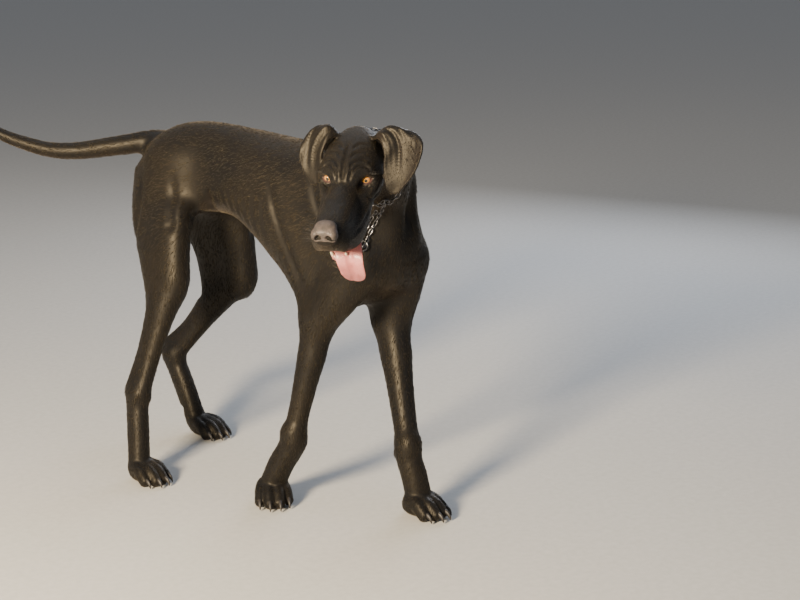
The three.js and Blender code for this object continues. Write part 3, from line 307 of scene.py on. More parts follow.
def nets(value, X, to_world=None, reach=3.0):
    """Closed quad mesh of a field on a grid of lines, its corners laid on the true surface."""
    to_world = to_world or (lambda q: q)
    nx, ny, nz = [len(x) for x in X]
    F = sample(value, X, to_world)
    edge = np.ones(F.shape, bool)
    edge[1:-1, 1:-1, 1:-1] = False
    F[edge] = np.maximum(F[edge], 1.0)
    untangle(F)
    s = F < 0
    inside = sum(s[i:nx - 1 + i, j:ny - 1 + j, k:nz - 1 + k].astype(int)
                 for i in (0, 1) for j in (0, 1) for k in (0, 1))
    cells = np.argwhere((inside > 0) & (inside < 8))
    index = -np.ones(inside.shape, int)
    index[tuple(cells.T)] = np.arange(len(cells))
    acc = np.zeros((len(cells), 3))
    hits = np.zeros(len(cells))
    for ax in range(3):
        for a in (0, 1):
            for b in (0, 1):
                o = [0, 0, 0]
                o[(ax + 1) % 3], o[(ax + 2) % 3] = a, b
                p0 = [cells[:, d] + o[d] for d in range(3)]
                p1 = list(p0)
                p1[ax] = p0[ax] + 1
                f0, f1 = F[tuple(p0)], F[tuple(p1)]
                m = (f0 < 0) != (f1 < 0)
                t = np.where(m, f0 / np.where(f0 == f1, 1, f0 - f1), 0)
                c0 = np.stack([X[d][p0[d]] for d in range(3)], 1)
                c1 = np.stack([X[d][p1[d]] for d in range(3)], 1)
                acc += np.where(m[:, None], c0 + (c1 - c0) * t[:, None], 0)
                hits += m
    V = acc / hits[:, None]
    lim = np.array([nx - 2, ny - 2, nz - 2])
    border = ((cells == 0) | (cells == lim)).any(1)
    V = settle(value, to_world(V), ~border, reach)
    quads = []
    for ax in range(3):
        b, c = (ax + 1) % 3, (ax + 2) % 3
        size = (nx, ny, nz)
        lo, hi = [None] * 3, [None] * 3
        lo[ax], hi[ax] = slice(0, size[ax] - 1), slice(1, size[ax])
        lo[b] = hi[b] = slice(1, size[b] - 1)
        lo[c] = hi[c] = slice(1, size[c] - 1)
        A, B = s[tuple(lo)], s[tuple(hi)]
        off = np.zeros(3, int)
        off[b] = off[c] = 1
        for flip, mask in ((False, A & ~B), (True, ~A & B)):
            e = np.argwhere(mask) + off
            ring = []
            for db, dc in ((1, 1), (0, 1), (0, 0), (1, 0)):
                q = e.copy()
                q[:, b] -= db
                q[:, c] -= dc
                ring.append(index[tuple(q.T)])
            ring = np.stack(ring, 1)
            quads.append(ring[:, ::-1] if flip else ring)
    return V, np.vstack(quads)


def slope(value, p):
    """Gradient of a field at points p."""
    e = 0.6
    g = np.empty_like(p)
    for a in range(3):
        d = np.zeros(3)
        d[a] = e
        g[:, a] = (value(p + d) - value(p - d)) / (2 * e)
    return g


def settle(value, V, free, reach):
    """Moves points down the slope of the field until they lie on its surface."""
    V = V.copy()
    start = V[free].copy()
    p = start.copy()
    for _ in range(3):
        g = slope(value, p)
        gg = (g * g).sum(1)
        step = g * (value(p) / np.maximum(gg, 0.05))[:, None]
        q = p - step
        off = np.linalg.norm(q - start, axis=1)
        ok = off < reach
        p[ok] = q[ok]
    V[free] = p
    return V


# Middle line of the tail and its half widths
TAIL = [[50, 350, 752, 24, 28, 32], [54, 381, 762, 28, 30, 30], [27, 409, 760, 28, 28, 28],
        [-33, 471, 748, 25, 25, 25], [-93, 533, 737, 22.5, 22.5, 22.5], [-143, 585, 739, 20, 20, 20],
        [-194, 637, 759, 17.5, 17.5, 17.5], [-230, 675, 781, 15, 15, 15], [-263, 709, 810, 12.5, 12.5, 12.5],
        [-288, 735, 842, 10, 10, 10], [-303, 751, 872, 7, 7, 7]]


def trunk_parts():
    """Body and neck."""
    rows = [[404, 728, 36, 28, 44], [378, 730, 60, 42, 84], [330, 730, 80, 74, 112], [260, 730, 90, 95, 124],
            [180, 722, 82, 108, 112], [100, 712, 86, 116, 101], [20, 698, 104, 126, 105],
            [-60, 678, 118, 143, 128],
            [-140, 656, 122, 168, 166], [-220, 638, 116, 192, 192], [-300, 622, 102, 180, 178],
            [-360, 606, 84, 130, 130], [-400, 596, 62, 84, 88]]
    trunk = Tube([[spine(y), y, z, w, up, down] for y, z, w, up, down in rows], n=2.15, caps=(25, 26))
    neck = Tube([[62, -225, 690, 86, 118, 150], [65, -290, 715, 90, 104, 128], [52, -345, 752, 87, 88, 104],
                 [12, -395, 790, 71, 76, 86], [-38, -428, 822, 58, 62, 72], [-90, -452, 836, 52, 48, 62]],
                side=[[1, 0, 0], [1, -0.1, 0], [0.95, -0.3, 0], [0.8, -0.6, 0], [0.6, -0.8, 0]], n=2.1, k=45)
    return [trunk, neck]


def near(a, b, t, d=(0, 0, 0)):
    """Point between a and b, moved by d."""
    return a + (b - a) * t + np.array(d, float)


def fore_parts(s, w, shoulder, elbow, wrist, ankle, paw, toes):
    """One foreleg from the shoulder blade to the top of the paw."""
    blade = vec(spine(-215) + s * 52, -205, 770)
    point = elbow + vec(s * 2, 42, 14)
    return [
        Tube([[*blade, 26, 60, 60], [*near(blade, shoulder, 0.5, (s * 6, 0, 0)), 36, 70, 62],
              [*shoulder, 38, 46, 50]], n=2.2, k=40),
        Tube([[*shoulder, 40, 48, 48], [*near(shoulder, elbow, 0.5, (s * 2, 0, 0)), 42, 56, 52],
              [*elbow, 38 * w, 43 * w, 41 * w]], n=2.1, k=30),
        Tube([[*near(blade, point, 0.55, (s * 4, 30, 20)), 26, 60, 60],
              [*near(blade, point, 0.75, (s * 2, 14, 0)), 26, 46, 44],
              [*(point + vec(0, -6, 0)), 17, 20, 20]],
             n=2.1, k=40),
        Tube([[*(elbow + vec(0, 6, 6)), 31 * w, 37 * w, 37 * w],
              [*near(elbow, wrist, 0.22), 31 * w, 36 * w, 36 * w],
              [*near(elbow, wrist, 0.5), 26 * w, 29 * w, 29 * w],
              [*near(elbow, wrist, 0.8), 23 * w, 25 * w, 26 * w],
              [*wrist, 26, 29, 30]], n=2.15, k=24),
        Tube([[*(wrist + vec(0, 0, 12)), 27, 29, 31], [*(wrist + vec(0, 0, -14)), 28, 29, 32],
              [*near(wrist, ankle, 0.55), 29, 30, 31], [*ankle, 30, 30, 29]], n=2.2, k=14),
        Ball(wrist + vec(0, 36, -20), [9, 8, 12], k=14),
    ]


def hind_parts(s, hip, knee, hock, calf, ankle, paw, toes):
    """One hind leg from the haunch to the top of the paw."""
    seat = vec(spine(390) + s * 50, 384, 690)
    heel = hock + vec(0, 28, 18)
    back = knee + calf
    rear = calf[1] / 3
    return [
        Tube([[*(hip + vec(s * -10, -10, 80)), 36, 76, 66], [*(hip + vec(0, 0, -20)), 48, 104, 88],
              [*near(hip, knee, 0.5, (s * 3, 12, -8)), 46, 92, 78], [*(knee + vec(0, 18, 2)), 37, 56, 52],
              [*(knee + vec(0, 12, -40)), 29, 37, 39]], n=2.1, k=60, caps=(40, 0)),
        Tube([[*seat, 30, 34, 34], [*near(seat, back, 0.4, (0, 8, 0)), 36, 50, 42],
              [*near(seat, back, 0.8), 34, 48, 41],
              [*near(knee, hock, 0.3, (0, rear, 0)), 26, 37, 33]], n=2.1, k=36),
        Tube([[*(knee + vec(0, 8, -6)), 32, 42, 44], [*near(knee, hock, 0.25, (0, 6, 0)), 29, 37, 41],
              [*near(knee, hock, 0.55, (0, 4, 0)), 24, 29, 31],
              [*near(knee, hock, 0.85, (0, -2, 0)), 22, 25, 27],
              [*(hock + vec(0, -8, 4)), 23, 25, 25]], n=2.15, k=24),
        Tube([[*near(knee, hock, 0.42, (0, rear + 6, 0)), 17, 21, 21],
              [*near(knee, hock, 0.68, (0, 30, 4)), 13, 15, 15], [*(heel + vec(0, -6, 6)), 13, 15, 15],
              [*(heel + vec(0, -2, -8)), 16, 16, 17]], n=2.1, k=20),
        Ball(hock + vec(0, 0, -4), [24, 28, 30], k=16),
        Tube([[*(hock + vec(0, 6, -6)), 24, 29, 30], [*near(hock, ankle, 0.4, (0, 4, 0)), 25, 29, 29],
              [*near(hock, ankle, 0.8, (0, 1, 0)), 25, 28, 28], [*ankle, 26, 27, 27]], n=2.2, k=14),
    ]


# Each toe's place to the left and forward, and its half width
TOES = [[-27, 2, 11.5], [-9.5, 16, 13], [9.5, 16, 13], [27, 2, 11.5]]


class Paw:
    """A foot of four arched toes, standing on the ground."""

    def __init__(self, name, leg, size):
        self.name, self.size, self.at0 = name, size, leg["paw"]
        self.f = unit((*leg["toes"][:2], 0))
        self.l = vec(-self.f[1], self.f[0], 0)

    def at(self, a, b, z):
        return self.at0 + (self.f * a + self.l * b + UP * z) * self.size

    def parts(self):
        r = self.size
        out = [Ball(self.at(-12, 0, 22), [30 * r, 34 * r, 24 * r], along=self.f, side=self.l, n=2.2, k=14)]
        for b, a, w in TOES:
            out.append(Tube([[*self.at(a - 22, b * 0.75, 34), r * w * 0.85, r * 14, r * 14],
                             [*self.at(a + 4, b * 0.95, 29), r * w, r * 15, r * 15],
                             [*self.at(a + 24, b * 1.05, 14), r * w * 0.95, r * 14, r * 14]],
                            side=self.l, n=2.1, k=8))
        return out


def skull_parts():
    """Skull, cheeks, muzzle and hanging upper lips."""
    face = dict(along=FACE, side=LEFT)
    parts = [
        Ball(head(-62, 0, -3), [57, 88, 50], n=2.4, k=20, **face),
        Tube([[*head(-112, 0, 18), 26, 24, 30], [*head(-66, 0, 23), 46, 23, 30],
              [*head(-34, 0, 18), 38, 20, 30],
              [*head(-6, 0, 7), 25, 16, 24], [*head(22, 0, -6), 17, 16, 20], [*head(56, 0, -11), 17, 16, 18]],
             side=LEFT, n=2.2, k=26),
        Tube([[*head(-24, 0, -34), 42, 26, 34], [*head(14, 0, -34), 38, 26, 34],
              [*head(56, 0, -30), 37, 34, 41],
              [*head(110, 0, -27), 37, 33, 44], [*head(146, 0, -22), 36, 28, 40],
              [*head(163, 0, -16), 32, 22, 32],
              [*head(174, 0, -11), 24, 15, 22]], side=LEFT, n=2.5, k=20),
    ]
    for s in (1, -1):
        parts.append(Ball(head(-15, s * 36, 15), [15, 14, 8], k=16, **face))
        parts.append(Ball(head(-36, s * 45, -24), [18, 46, 38], k=24, **face))
        parts.append(Tube([[*head(30, s * 33, -30), 8, 10, 12], [*head(4, s * 42, -26), 9, 9, 12],
                           [*head(-30, s * 55, -18), 9, 12, 14], [*head(-60, s * 56, -18), 8, 12, 14]],
                          side=LEFT, k=18))
        parts.append(Tube([[*head(18, s * 40, -48), 12, 18, 18], [*head(58, s * 42, -58), 11, 22, 25],
                           [*head(105, s * 38, -60), 11, 22, 24], [*head(148, s * 26, -46), 10, 17, 18]],
                          side=LEFT, n=2.1, k=22))
    for s in (1, -1):
        parts.append(("-", Ball(head(9, s * 43, -3), [14, 14, 8], k=12, **face)))
    return parts


def jaw_parts():
    """The dropped lower jaw."""
    return [Tube([[*jaw(-6, 0, 0), 40, 26, 26], [*jaw(50, 0, -14), 38, 18, 22],
                  [*jaw(110, 0, -16), 31, 13, 17],
                  [*jaw(170, 0, -12), 25, 11, 15], [*jaw(200, 0, -6), 19, 10, 13]], side=LEFT, n=2.4, k=10)]


# Front edge, rear edge and the swelling between them, from root to tip, in the head's own directions
EARS = {
    "left": dict(
        s=1,
        front=[[-88, 34, 40], [-70, 60, 52], [-50, 72, 30], [-37, 71, 4], [-20, 75, -26], [-15, 84, -42]],
        rear=[[-94, 54, -34], [-102, 98, 16], [-82, 130, 56], [-51, 150, 50], [-28, 135, 6], [-13, 100, -38]],
        crest=[[-8, 4, 8], [-4, -7, 30], [-12, 0, 20], [-14, 2, 10], [-6, 6, 4], [0, 0, 0]]),
    "right": dict(
        s=-1,
        front=[[-92, 20, 40], [-66, 44, 53], [-44, 58, 32], [-32, 62, 6], [-24, 64, -18], [-20, 74, -31]],
        rear=[[-96, 54, -34], [-104, 80, 16], [-84, 98, 40], [-55, 108, 22], [-38, 101, -6], [-24, 83, -33]],
        crest=[[-8, 2, 8], [-8, -10, 28], [-16, -2, 20], [-12, 6, 8], [-4, 6, 3], [0, 0, 0]]),
}
EAR_THICK = 8.0


class Ear:
    """A thin flap hanging from the skull, its value read from the distance to its middle sheet."""

    def __init__(self, name, columns=16, rows=26):
        ear = EARS[name]
        self.k = 7
        front, rear, crest = [spline(ear[q], rows) for q in ("front", "rear", "crest")]
        u = np.linspace(0, 1, columns)
        sheet = (front[:, None] * (1 - u)[None, :, None] + rear[:, None] * u[None, :, None]
                 + crest[:, None] * (4 * u * (1 - u))[None, :, None])
        self.sheet = EYES + sheet[..., :1] * FACE + sheet[..., 1:2] * ear["s"] * LEFT + sheet[..., 2:] * CROWN
        flat = self.sheet.reshape(-1, 3)
        at = [(i, j) for i in range(rows - 1) for j in range(columns - 1)]
        quads = [(i * columns + j, i * columns + j + 1, (i + 1) * columns + j + 1, (i + 1) * columns + j)
                 for i, j in at]
        tris = [t for a, b, c, d in quads for t in ((a, b, c), (a, c, d))]
        self.tree = BVHTree.FromPolygons([tuple(q) for q in flat], tris)
        down = np.repeat(np.linspace(0, 1, rows)[:-1], (columns - 1) * 2)
        self.half = EAR_THICK * (1 - 0.35 * down) / 2 + COAT_DEPTH - 0.7
        self.low = flat.min(0) - 6
        self.high = flat.max(0) + 6

    def value(self, p):
        out = np.full(len(p), 40.0)
        box = np.maximum(self.low - p, 0) + np.maximum(p - self.high, 0)
        far = np.sqrt((box ** 2).sum(1))
        out = np.maximum(out, far)
        find = self.tree.find_nearest
        for i in np.flatnonzero(far < 14):
            _, _, face, d = find(p[i], 18)
            if face is not None:
                out[i] = d - self.half[face]
        return out


EAR_LEFT, EAR_RIGHT = Ear("left"), Ear("right")


def eye_centre(s):
    """Middle of the left eye, s 1, or the right one, s -1."""
    return head(-11, s * EYE_SIDE, -5)


class Lids:
    """Ball of lids round an eye with the almond opening between them."""

    def __init__(self, s):
        self.c = eye_centre(s)
        self.k = 5
        self.look = unit(FACE * 0.86 + LEFT * (s * 0.27 + 0.06) + CROWN * 0.36)
        out = LEFT * s + CROWN * 0.2 - FACE * 0.1
        self.out = unit(out - (out @ self.look) * self.look)
        self.up = unit(CROWN - (CROWN @ self.look) * self.look)
        self.up = unit(self.up - (self.up @ self.out) * self.out)
        self.low, self.high = self.c - 26, self.c + 26

    def angles(self, p):
        d = p - self.c
        r = np.linalg.norm(d, axis=1)
        x, y, z = d @ self.out, d @ self.up, d @ self.look
        return r, np.arctan2(x, z), np.arctan2(y, np.hypot(x, z))

    def value(self, p):
        r, a, b = self.angles(p)
        return r - (EYE_RADIUS + 2.6)


class Opening(Lids):
    """The almond hole in front of the eyeball."""

    def __init__(self, s):
        super().__init__(s)
        self.k = 1.6
        self.wide, self.high_lid, self.low_lid = np.radians((56, 27, 24) if s > 0 else (50, 21, 20))

    def value(self, p):
        r, a, b = self.angles(p)
        t = np.clip(a / self.wide, -1, 1)
        top = self.high_lid * (1 - t * t) ** 0.75 - 0.02
        low = -self.low_lid * (1 - t * t) ** 0.8 - 0.02
        over = np.maximum(b - top, low - b) * EYE_RADIUS
        over = np.maximum(over, (np.abs(a) - self.wide) * EYE_RADIUS)
        return np.maximum(over, np.abs(r - EYE_RADIUS - 2.5) - 4.7)


def nose_parts():
    """Leather of the nose, with its nostrils."""
    face = dict(along=FACE, side=LEFT)
    parts = [Ball(head(174, 0, -7), [23.5, 16, 18], n=2.5, k=8, **face),
             Ball(head(163, 0, 4), [21, 15, 10], n=2.3, k=10, **face),
             Ball(head(171, 0, -25), [10, 12, 13], k=8, **face)]
    for s in (1, -1):
        parts.append(Ball(head(180, s * 17, -5), [10, 12, 13], k=5, **face))
        parts.append(("-", Ball(head(194, s * 10.5, -5), [6.5, 13, 5.5], k=3, **face)))
        parts.append(("-", Tube([[*head(192, s * 11, -7), 2.5, 4, 4], [*head(188, s * 18, -11), 2.2, 4, 4],
                                 [*head(176, s * 26, -13), 1.6, 4, 4]], side=CROWN, k=3)))
    parts.append(("-", Tube([[*head(197, 0, 6), 1.0, 1.6, 1.6], [*head(197, 0, -8), 1.2, 2.4, 2.4],
                             [*head(188, 0, -36), 1.2, 2.4, 2.4]], side=LEFT, k=2)))
    return parts


BODY = (trunk_parts() + [q for leg in FORE.values() for q in fore_parts(**leg)]
        + [q for leg in HIND.values() for q in hind_parts(**leg)])
PAWS = [Paw("fore_right", FORE["right"], FORE_PAW), Paw("fore_left", FORE["left"], FORE_PAW),
        Paw("hind_right", HIND["right"], HIND_PAW), Paw("hind_left", HIND["left"], HIND_PAW)]
HEAD_PARTS = skull_parts() + [Lids(1), Lids(-1)] + jaw_parts() + [EAR_LEFT, EAR_RIGHT]
ALL_PARTS = BODY + [Tube(TAIL, side=(0, 0, 1), k=18)] + HEAD_PARTS + [q for paw in PAWS for q in paw.parts()]
OPENINGS = [("-", Opening(1)), ("-", Opening(-1))]


def skin_value(p):
    """The skin, inside the outer form by the depth of the coat, cut flat at the ground."""
    f = flesh(ALL_PARTS, p) + COAT_DEPTH
    f = flesh(OPENINGS, p, f)
    return np.maximum(f, SOLE + 0.4 - p[:, 2])


# Plane behind the skull and height above the paws where grids of unlike fineness meet, half the gap left
# between them, and how far apart the middles of two facing rims may lie
HEAD_CUT = (head(-118, 0, 0), unit(0.93 * FACE + 0.366 * CROWN))
PAW_CUT = 74
SEAM = 2.6
RIM_REACH = 25


def piece_mesh(V, Q, cuts=()):
    """Largest piece of the quads, trimmed by planes given as (point, normal, keep the side beyond)."""
    bm = bmesh.new()
    verts = [bm.verts.new(v) for v in V]
    for q in Q:
        bm.faces.new([verts[i] for i in q])
    for p, n, beyond in cuts:
        geom = bm.verts[:] + bm.edges[:] + bm.faces[:]
        bmesh.ops.bisect_plane(bm, geom=geom, dist=0.01, plane_co=Vector(p), plane_no=Vector(n),
                               clear_inner=beyond, clear_outer=not beyond)
    bmesh.ops.delete(bm, geom=[v for v in bm.verts if not v.link_faces], context="VERTS")
    keep_largest(bm)
    return bm


def keep_largest(bm):
    """Drops every loose scrap of a mesh."""
    left = set(bm.verts)
    best = []
    while left:
        seed = left.pop()
        group = [seed]
        stack = [seed]
        while stack:
            for e in stack.pop().link_edges:
                for w in e.verts:
                    if w in left:
                        left.remove(w)
                        group.append(w)
                        stack.append(w)
        if len(group) > len(best):
            best = group
    best = set(best)
    bmesh.ops.delete(bm, geom=[v for v in bm.verts if v not in best], context="VERTS")


def rims(bm):
    """Open boundary loops as lists of vertices in order."""
    edges = {e for e in bm.edges if len(e.link_faces) == 1}
    out = []
    while edges:
        e = edges.pop()
        ring = [e.verts[0], e.verts[1]]
        while True:
            nxt = [f for f in ring[-1].link_edges if f in edges]
            if not nxt:
                break
            f = nxt[0]
            edges.remove(f)
            ring.append(f.other_vert(ring[-1]))
        if ring[0] is ring[-1]:
            ring.pop()
        out.append(ring)
    return out


def zip_rims(bm, a, b):
    """Joins two facing rims of unlike count by a band of triangles."""
    pa, pb = np.array([v.co for v in a]), np.array([v.co for v in b])
    mid = pa.mean(0)
    flat = pa - mid
    n = np.linalg.svd(flat, full_matrices=False)[2][2]
    u = unit(np.cross(n, (0.3, 0.5, 0.8)))
    w = np.cross(n, u)

    def order(ring, pts):
        ang = np.arctan2((pts - mid) @ w, (pts - mid) @ u)
        turn = np.unwrap(np.r_[ang, ang[0]])
        if turn[-1] < turn[0]:
            ring, pts, ang = ring[::-1], pts[::-1], ang[::-1]
        start = int(np.argmin(np.abs(ang)))
        ring = ring[start:] + ring[:start]
        pts = np.roll(pts, -start, axis=0)
        run = np.r_[0, np.cumsum(np.linalg.norm(np.diff(np.vstack([pts, pts[:1]]), axis=0), axis=1))]
        return ring + [ring[0]], run / run[-1]
    ra, ta = order(list(a), pa)
    rb, tb = order(list(b), pb)
    i = j = 0
    while i < len(ra) - 1 or j < len(rb) - 1:
        if j == len(rb) - 1 or (i < len(ra) - 1 and ta[i + 1] <= tb[j + 1]):
            tri = (ra[i], ra[i + 1], rb[j])
            i += 1
        else:
            tri = (ra[i], rb[j + 1], rb[j])
            j += 1
        if len(set(tri)) == 3 and not bm.faces.get(tri):
            bm.faces.new(tri)


def build_skin():
    """One closed skin: trunk, head and paws meshed on their own grids and zipped together."""
    body = nets(skin_value, [ticks([-332, (242, STEP_BODY)]), ticks([-532, (766, STEP_BODY)]),
                             ticks([58, (924, STEP_BODY)])])
    p, n = HEAD_CUT
    bm = piece_mesh(*body, [(p - n * SEAM, n, False), (vec(0, 0, PAW_CUT + SEAM), UP, True)])
    X = [ticks([-160, (-24, 3.2), (12, STEP_FACE), (150, 2.8), (206, 2.6)]),
         ticks([-116, (-64, 2.8), (-24, STEP_FACE), (24, 2.6), (64, STEP_FACE), (162, 2.9)]),
         ticks([-152, (-20, 2.9), (18, STEP_FACE), (88, 2.9)])]
    upper = nets(skin_value, X, to_world=from_head, reach=2.4)
    parts = [piece_mesh(*upper, [(p + n * SEAM, n, True)])]
    for paw in PAWS:
        def paw_world(q, paw=paw):
            return paw.at0 + q[:, :1] * paw.f + q[:, 1:2] * paw.l + q[:, 2:] * UP
        X = [ticks([-58, (62, STEP_PAW)]), ticks([-54, (54, STEP_PAW)]), ticks([-1, (86, STEP_PAW)])]
        low = nets(skin_value, X, to_world=paw_world)
        parts.append(piece_mesh(*low, [(vec(0, 0, PAW_CUT - SEAM), UP, False)]))
    me = bpy.data.meshes.new("join")
    for q in parts:
        q.to_mesh(me)
        bm.from_mesh(me)
        q.free()
    bpy.data.meshes.remove(me)
    rings = sorted(rims(bm), key=lambda r: -len(r))
    mids = [np.array([v.co for v in r]).mean(0) for r in rings]
    used = set()
    for i, ring in enumerate(rings):
        if i in used:
            continue
        others = sorted((np.linalg.norm(mids[i] - mids[j]), j) for j in range(len(rings))
                        if j != i and j not in used)
        if others and others[0][0] < RIM_REACH:
            used |= {i, others[0][1]}
            zip_rims(bm, ring, rings[others[0][1]])
    bmesh.ops.recalc_face_normals(bm, faces=bm.faces)
    open_edges = sum(1 for e in bm.edges if len(e.link_faces) != 2)
    print("skin", sum(len(f.verts) - 2 for f in bm.faces), "triangles,", open_edges, "open edges")
    return bm


# Furrows of the skin with a raised lip on each side: points, depth, half width. Those of the face are read
# in the head's own directions, and both lists are mirrored to the right side.
FACE_FOLDS = [
    ([(30, 0, 6), (-10, 0, 22), (-56, 0, 34)], 2.2, 6.5),
    ([(20, 9, 4), (4, 11, 12), (-8, 22, 19), (-12, 38, 19), (-6, 50, 10)], 2.2, 4.6),
    ([(4, 8, 14), (-12, 14, 22), (-24, 30, 26), (-26, 46, 22)], 2.2, 4.6),
    ([(-16, 7, 26), (-32, 16, 31), (-42, 34, 30)], 2.0, 4.8),
    ([(-36, 8, 34), (-54, 18, 36), (-60, 36, 32)], 1.5, 5.0),
    ([(14, 26, -18), (8, 38, -24), (-6, 50, -22), (-18, 56, -12)], 1.7, 3.2),
    ([(22, 28, -26), (12, 42, -35), (-8, 56, -35)], 1.3, 3.6),
    ([(-4, 52, -58), (-14, 62, -44), (-26, 68, -28)], 2.2, 5.0),
    ([(14, 46, -48), (2, 56, -42), (-12, 62, -36)], 1.8, 4.0),
    ([(26, 44, -46), (60, 50, -46), (100, 47, -44), (136, 36, -38)], 1.6, 6.0),
    ([(24, 48, -56), (34, 54, -68), (40, 54, -80)], 1.4, 3.6),
    ([(46, 50, -56), (54, 54, -68), (58, 52, -82)], 1.1, 3.6),
    ([(150, 20, -12), (126, 24, -16), (100, 26, -20)], 1.2, 4.5),
]
BODY_FOLDS = [
    ([(40, -478, 800), (52, -440, 730), (66, -404, 660), (70, -380, 600)], 5.0, 20.0),
    ([(150, -100, 750), (160, -140, 660), (158, -186, 560), (150, -210, 490)], 4.5, 17.0),
    ([(150, -230, 760), (170, -270, 690), (170, -330, 620)], 3.0, 16.0),
    ([(170, 226, 720), (175, 214, 640), (176, 196, 560), (170, 190, 500)], 3.5, 18.0),
    ([(150, 330, 700), (160, 322, 620), (165, 306, 540), (168, 290, 470)], 3.0, 16.0),
    ([(120, 130, 690), (132, 142, 640), (136, 150, 590)], 5.0, 15.0),
]
for i in range(6):
    y = -100 + 34 * i
    BODY_FOLDS.append(([(170, y, 720 - 3 * i), (176, y + 4, 650), (166, y - 10 + 3 * i, 590 + 7 * i)],
                       1.7 - 0.1 * i, 13.0))
FOLDS = 1.35
# Across the flap, from and to down the flap, height, half width
EAR_PLEATS = [(0.36, 0.04, 0.8, 3.2, 7.0), (0.62, 0.02, 0.6, -2.6, 6.0), (0.82, 0.05, 0.7, 2.4, 6.0),
              (0.16, 0.1, 0.7, -1.6, 5.0)]
EAR_NEAR = 15
CURVE_POINTS = 28
SOFT_ROUNDS = 26


def soften(bm):
    """Evens the trunk's skin where the muscles meet, head, lower legs and tail left as they are."""
    bm.verts.ensure_lookup_table()
    bm.verts.index_update()
    V = np.array([v.co for v in bm.verts])
    ends = np.array([[e.verts[0].index, e.verts[1].index] for e in bm.edges])
    p, n = HEAD_CUT
    free = smooth(V[:, 2], 330, 470) * smooth(-V[:, 1], -430, -330) * smooth(-((V - p) @ n), 12, 70)
    count = np.bincount(ends.ravel(), minlength=len(V))[:, None]
    for _ in range(SOFT_ROUNDS):
        total = np.zeros_like(V)
        for k in range(3):
            total[:, k] = (np.bincount(ends[:, 0], V[ends[:, 1], k], len(V))
                           + np.bincount(ends[:, 1], V[ends[:, 0], k], len(V)))
        V += (total / count - V) * (0.6 * free)[:, None]
    for v, q in zip(bm.verts, V):
        v.co = Vector(q)


def furrow(x, best, taper):
    """Depth across a furrow with raised lips, running out at both ends of its curve."""
    ends = np.minimum(1, np.minimum(best, CURVE_POINTS - 1 - best) / taper)
    return (1 - 1.3 * x * x) * np.exp(-x * x) * ends


def pleats(V, move):
    """Long soft folds down each ear flap, front and back moved alike."""
    for ear in (EAR_LEFT, EAR_RIGHT):
        rows, columns = ear.sheet.shape[:2]
        for u, top, end, depth, width in EAR_PLEATS:
            j = int(u * (columns - 1))
            line = spline([ear.sheet[int(t * (rows - 1)), j] for t in np.linspace(top, end, 6)], CURVE_POINTS)
            across = ear.sheet[rows // 2, columns - 1] - ear.sheet[rows // 2, 0]
            out = unit(np.cross(across, line[-1] - line[0]))
            near = np.flatnonzero(((V > line.min(0) - 16) & (V < line.max(0) + 16)).all(1))
            d = V[near][:, None] - line[None]
            flat = d - (d @ out)[..., None] * out
            best = np.linalg.norm(d, axis=2).argmin(1)
            at = np.arange(len(near))
            x = np.linalg.norm(flat[at, best], axis=1) / width
            on = np.linalg.norm(d[at, best], axis=1) < EAR_NEAR
            move[near] += (out * depth) * (furrow(x, best, 8.0) * on)[:, None]


def relief(bm):
    """Carves the folds of skin and the hollows between muscles into the finished surface."""
    bm.normal_update()
    tree = BVHTree.FromBMesh(bm)
    V = np.array([v.co for v in bm.verts])
    N = np.array([v.normal for v in bm.verts])
    move = np.zeros(len(V))
    curves = []
    for s in (1, -1):
        for points, depth, width in FACE_FOLDS:
            if s == 1 or abs(points[0][1]) > 1:
                curves.append(([head(a, b * s, c) for a, b, c in points], depth, width))
        for points, depth, width in BODY_FOLDS:
            curves.append(([vec(spine(y) + s * (x - 60), y, z) for x, y, z in points], depth, width))
    for points, depth, width in curves:
        line = spline(points, CURVE_POINTS)
        line = np.array([tree.find_nearest(Vector(q))[0] for q in line])
        near = np.flatnonzero(((V > line.min(0) - 3 * width) & (V < line.max(0) + 3 * width)).all(1))
        if not len(near):
            continue
        d = np.linalg.norm(V[near][:, None] - line[None], axis=2)
        best = d.argmin(1)
        x = d[np.arange(len(near)), best] / width
        move[near] -= FOLDS * depth * furrow(x, best, 7.0)
    shift = N * move[:, None]
    pleats(V, shift)
    for v, q in zip(bm.verts, shift):
        v.co += Vector(q)


# Where the dog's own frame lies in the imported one
LOW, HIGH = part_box("eye_left")
SHIFT = np.array((LOW + HIGH) / 2) * 1000 - eye_centre(1)


def place(p):
    """From the dog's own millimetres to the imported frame's metres."""
    return (np.asarray(p, float) + SHIFT) / 1000


def add_object(name, mesh, material, nodes=()):
    """A finished piece on the root, in place of the named solids."""
    ob = bpy.data.objects.new(name, mesh)
    bpy.context.scene.collection.objects.link(ob)
    if material.name not in mesh.materials:
        mesh.materials.append(material)
    mesh.polygons.foreach_set("use_smooth", [True] * len(mesh.polygons))
    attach(ob, "root")
    if nodes:
        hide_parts(*nodes)


def mesh_from(name, V, F):
    """A mesh from points in the dog's own millimetres."""
    me = bpy.data.meshes.new(name)
    me.from_pydata([tuple(v) for v in place(V)], [], [tuple(f) for f in F])
    me.update()
    return me


class Shade:
    """A socket that takes part in sums; each operator adds its Math node."""

    def __init__(self, tree, socket):
        self.tree, self.socket = tree, socket

    def maths(self, operation, *values):
        return Shade(self.tree, node(self.tree, "ShaderNodeMath", {"operation": operation},
                                     *values).outputs[0])

    def __add__(self, o):
        return self.maths("ADD", self, o)

    def __sub__(self, o):
        return self.maths("SUBTRACT", self, o)

    def __rsub__(self, o):
        return self.maths("SUBTRACT", o, self)

    def __mul__(self, o):
        return self.maths("MULTIPLY", self, o)

    __radd__ = __add__
    __rmul__ = __mul__


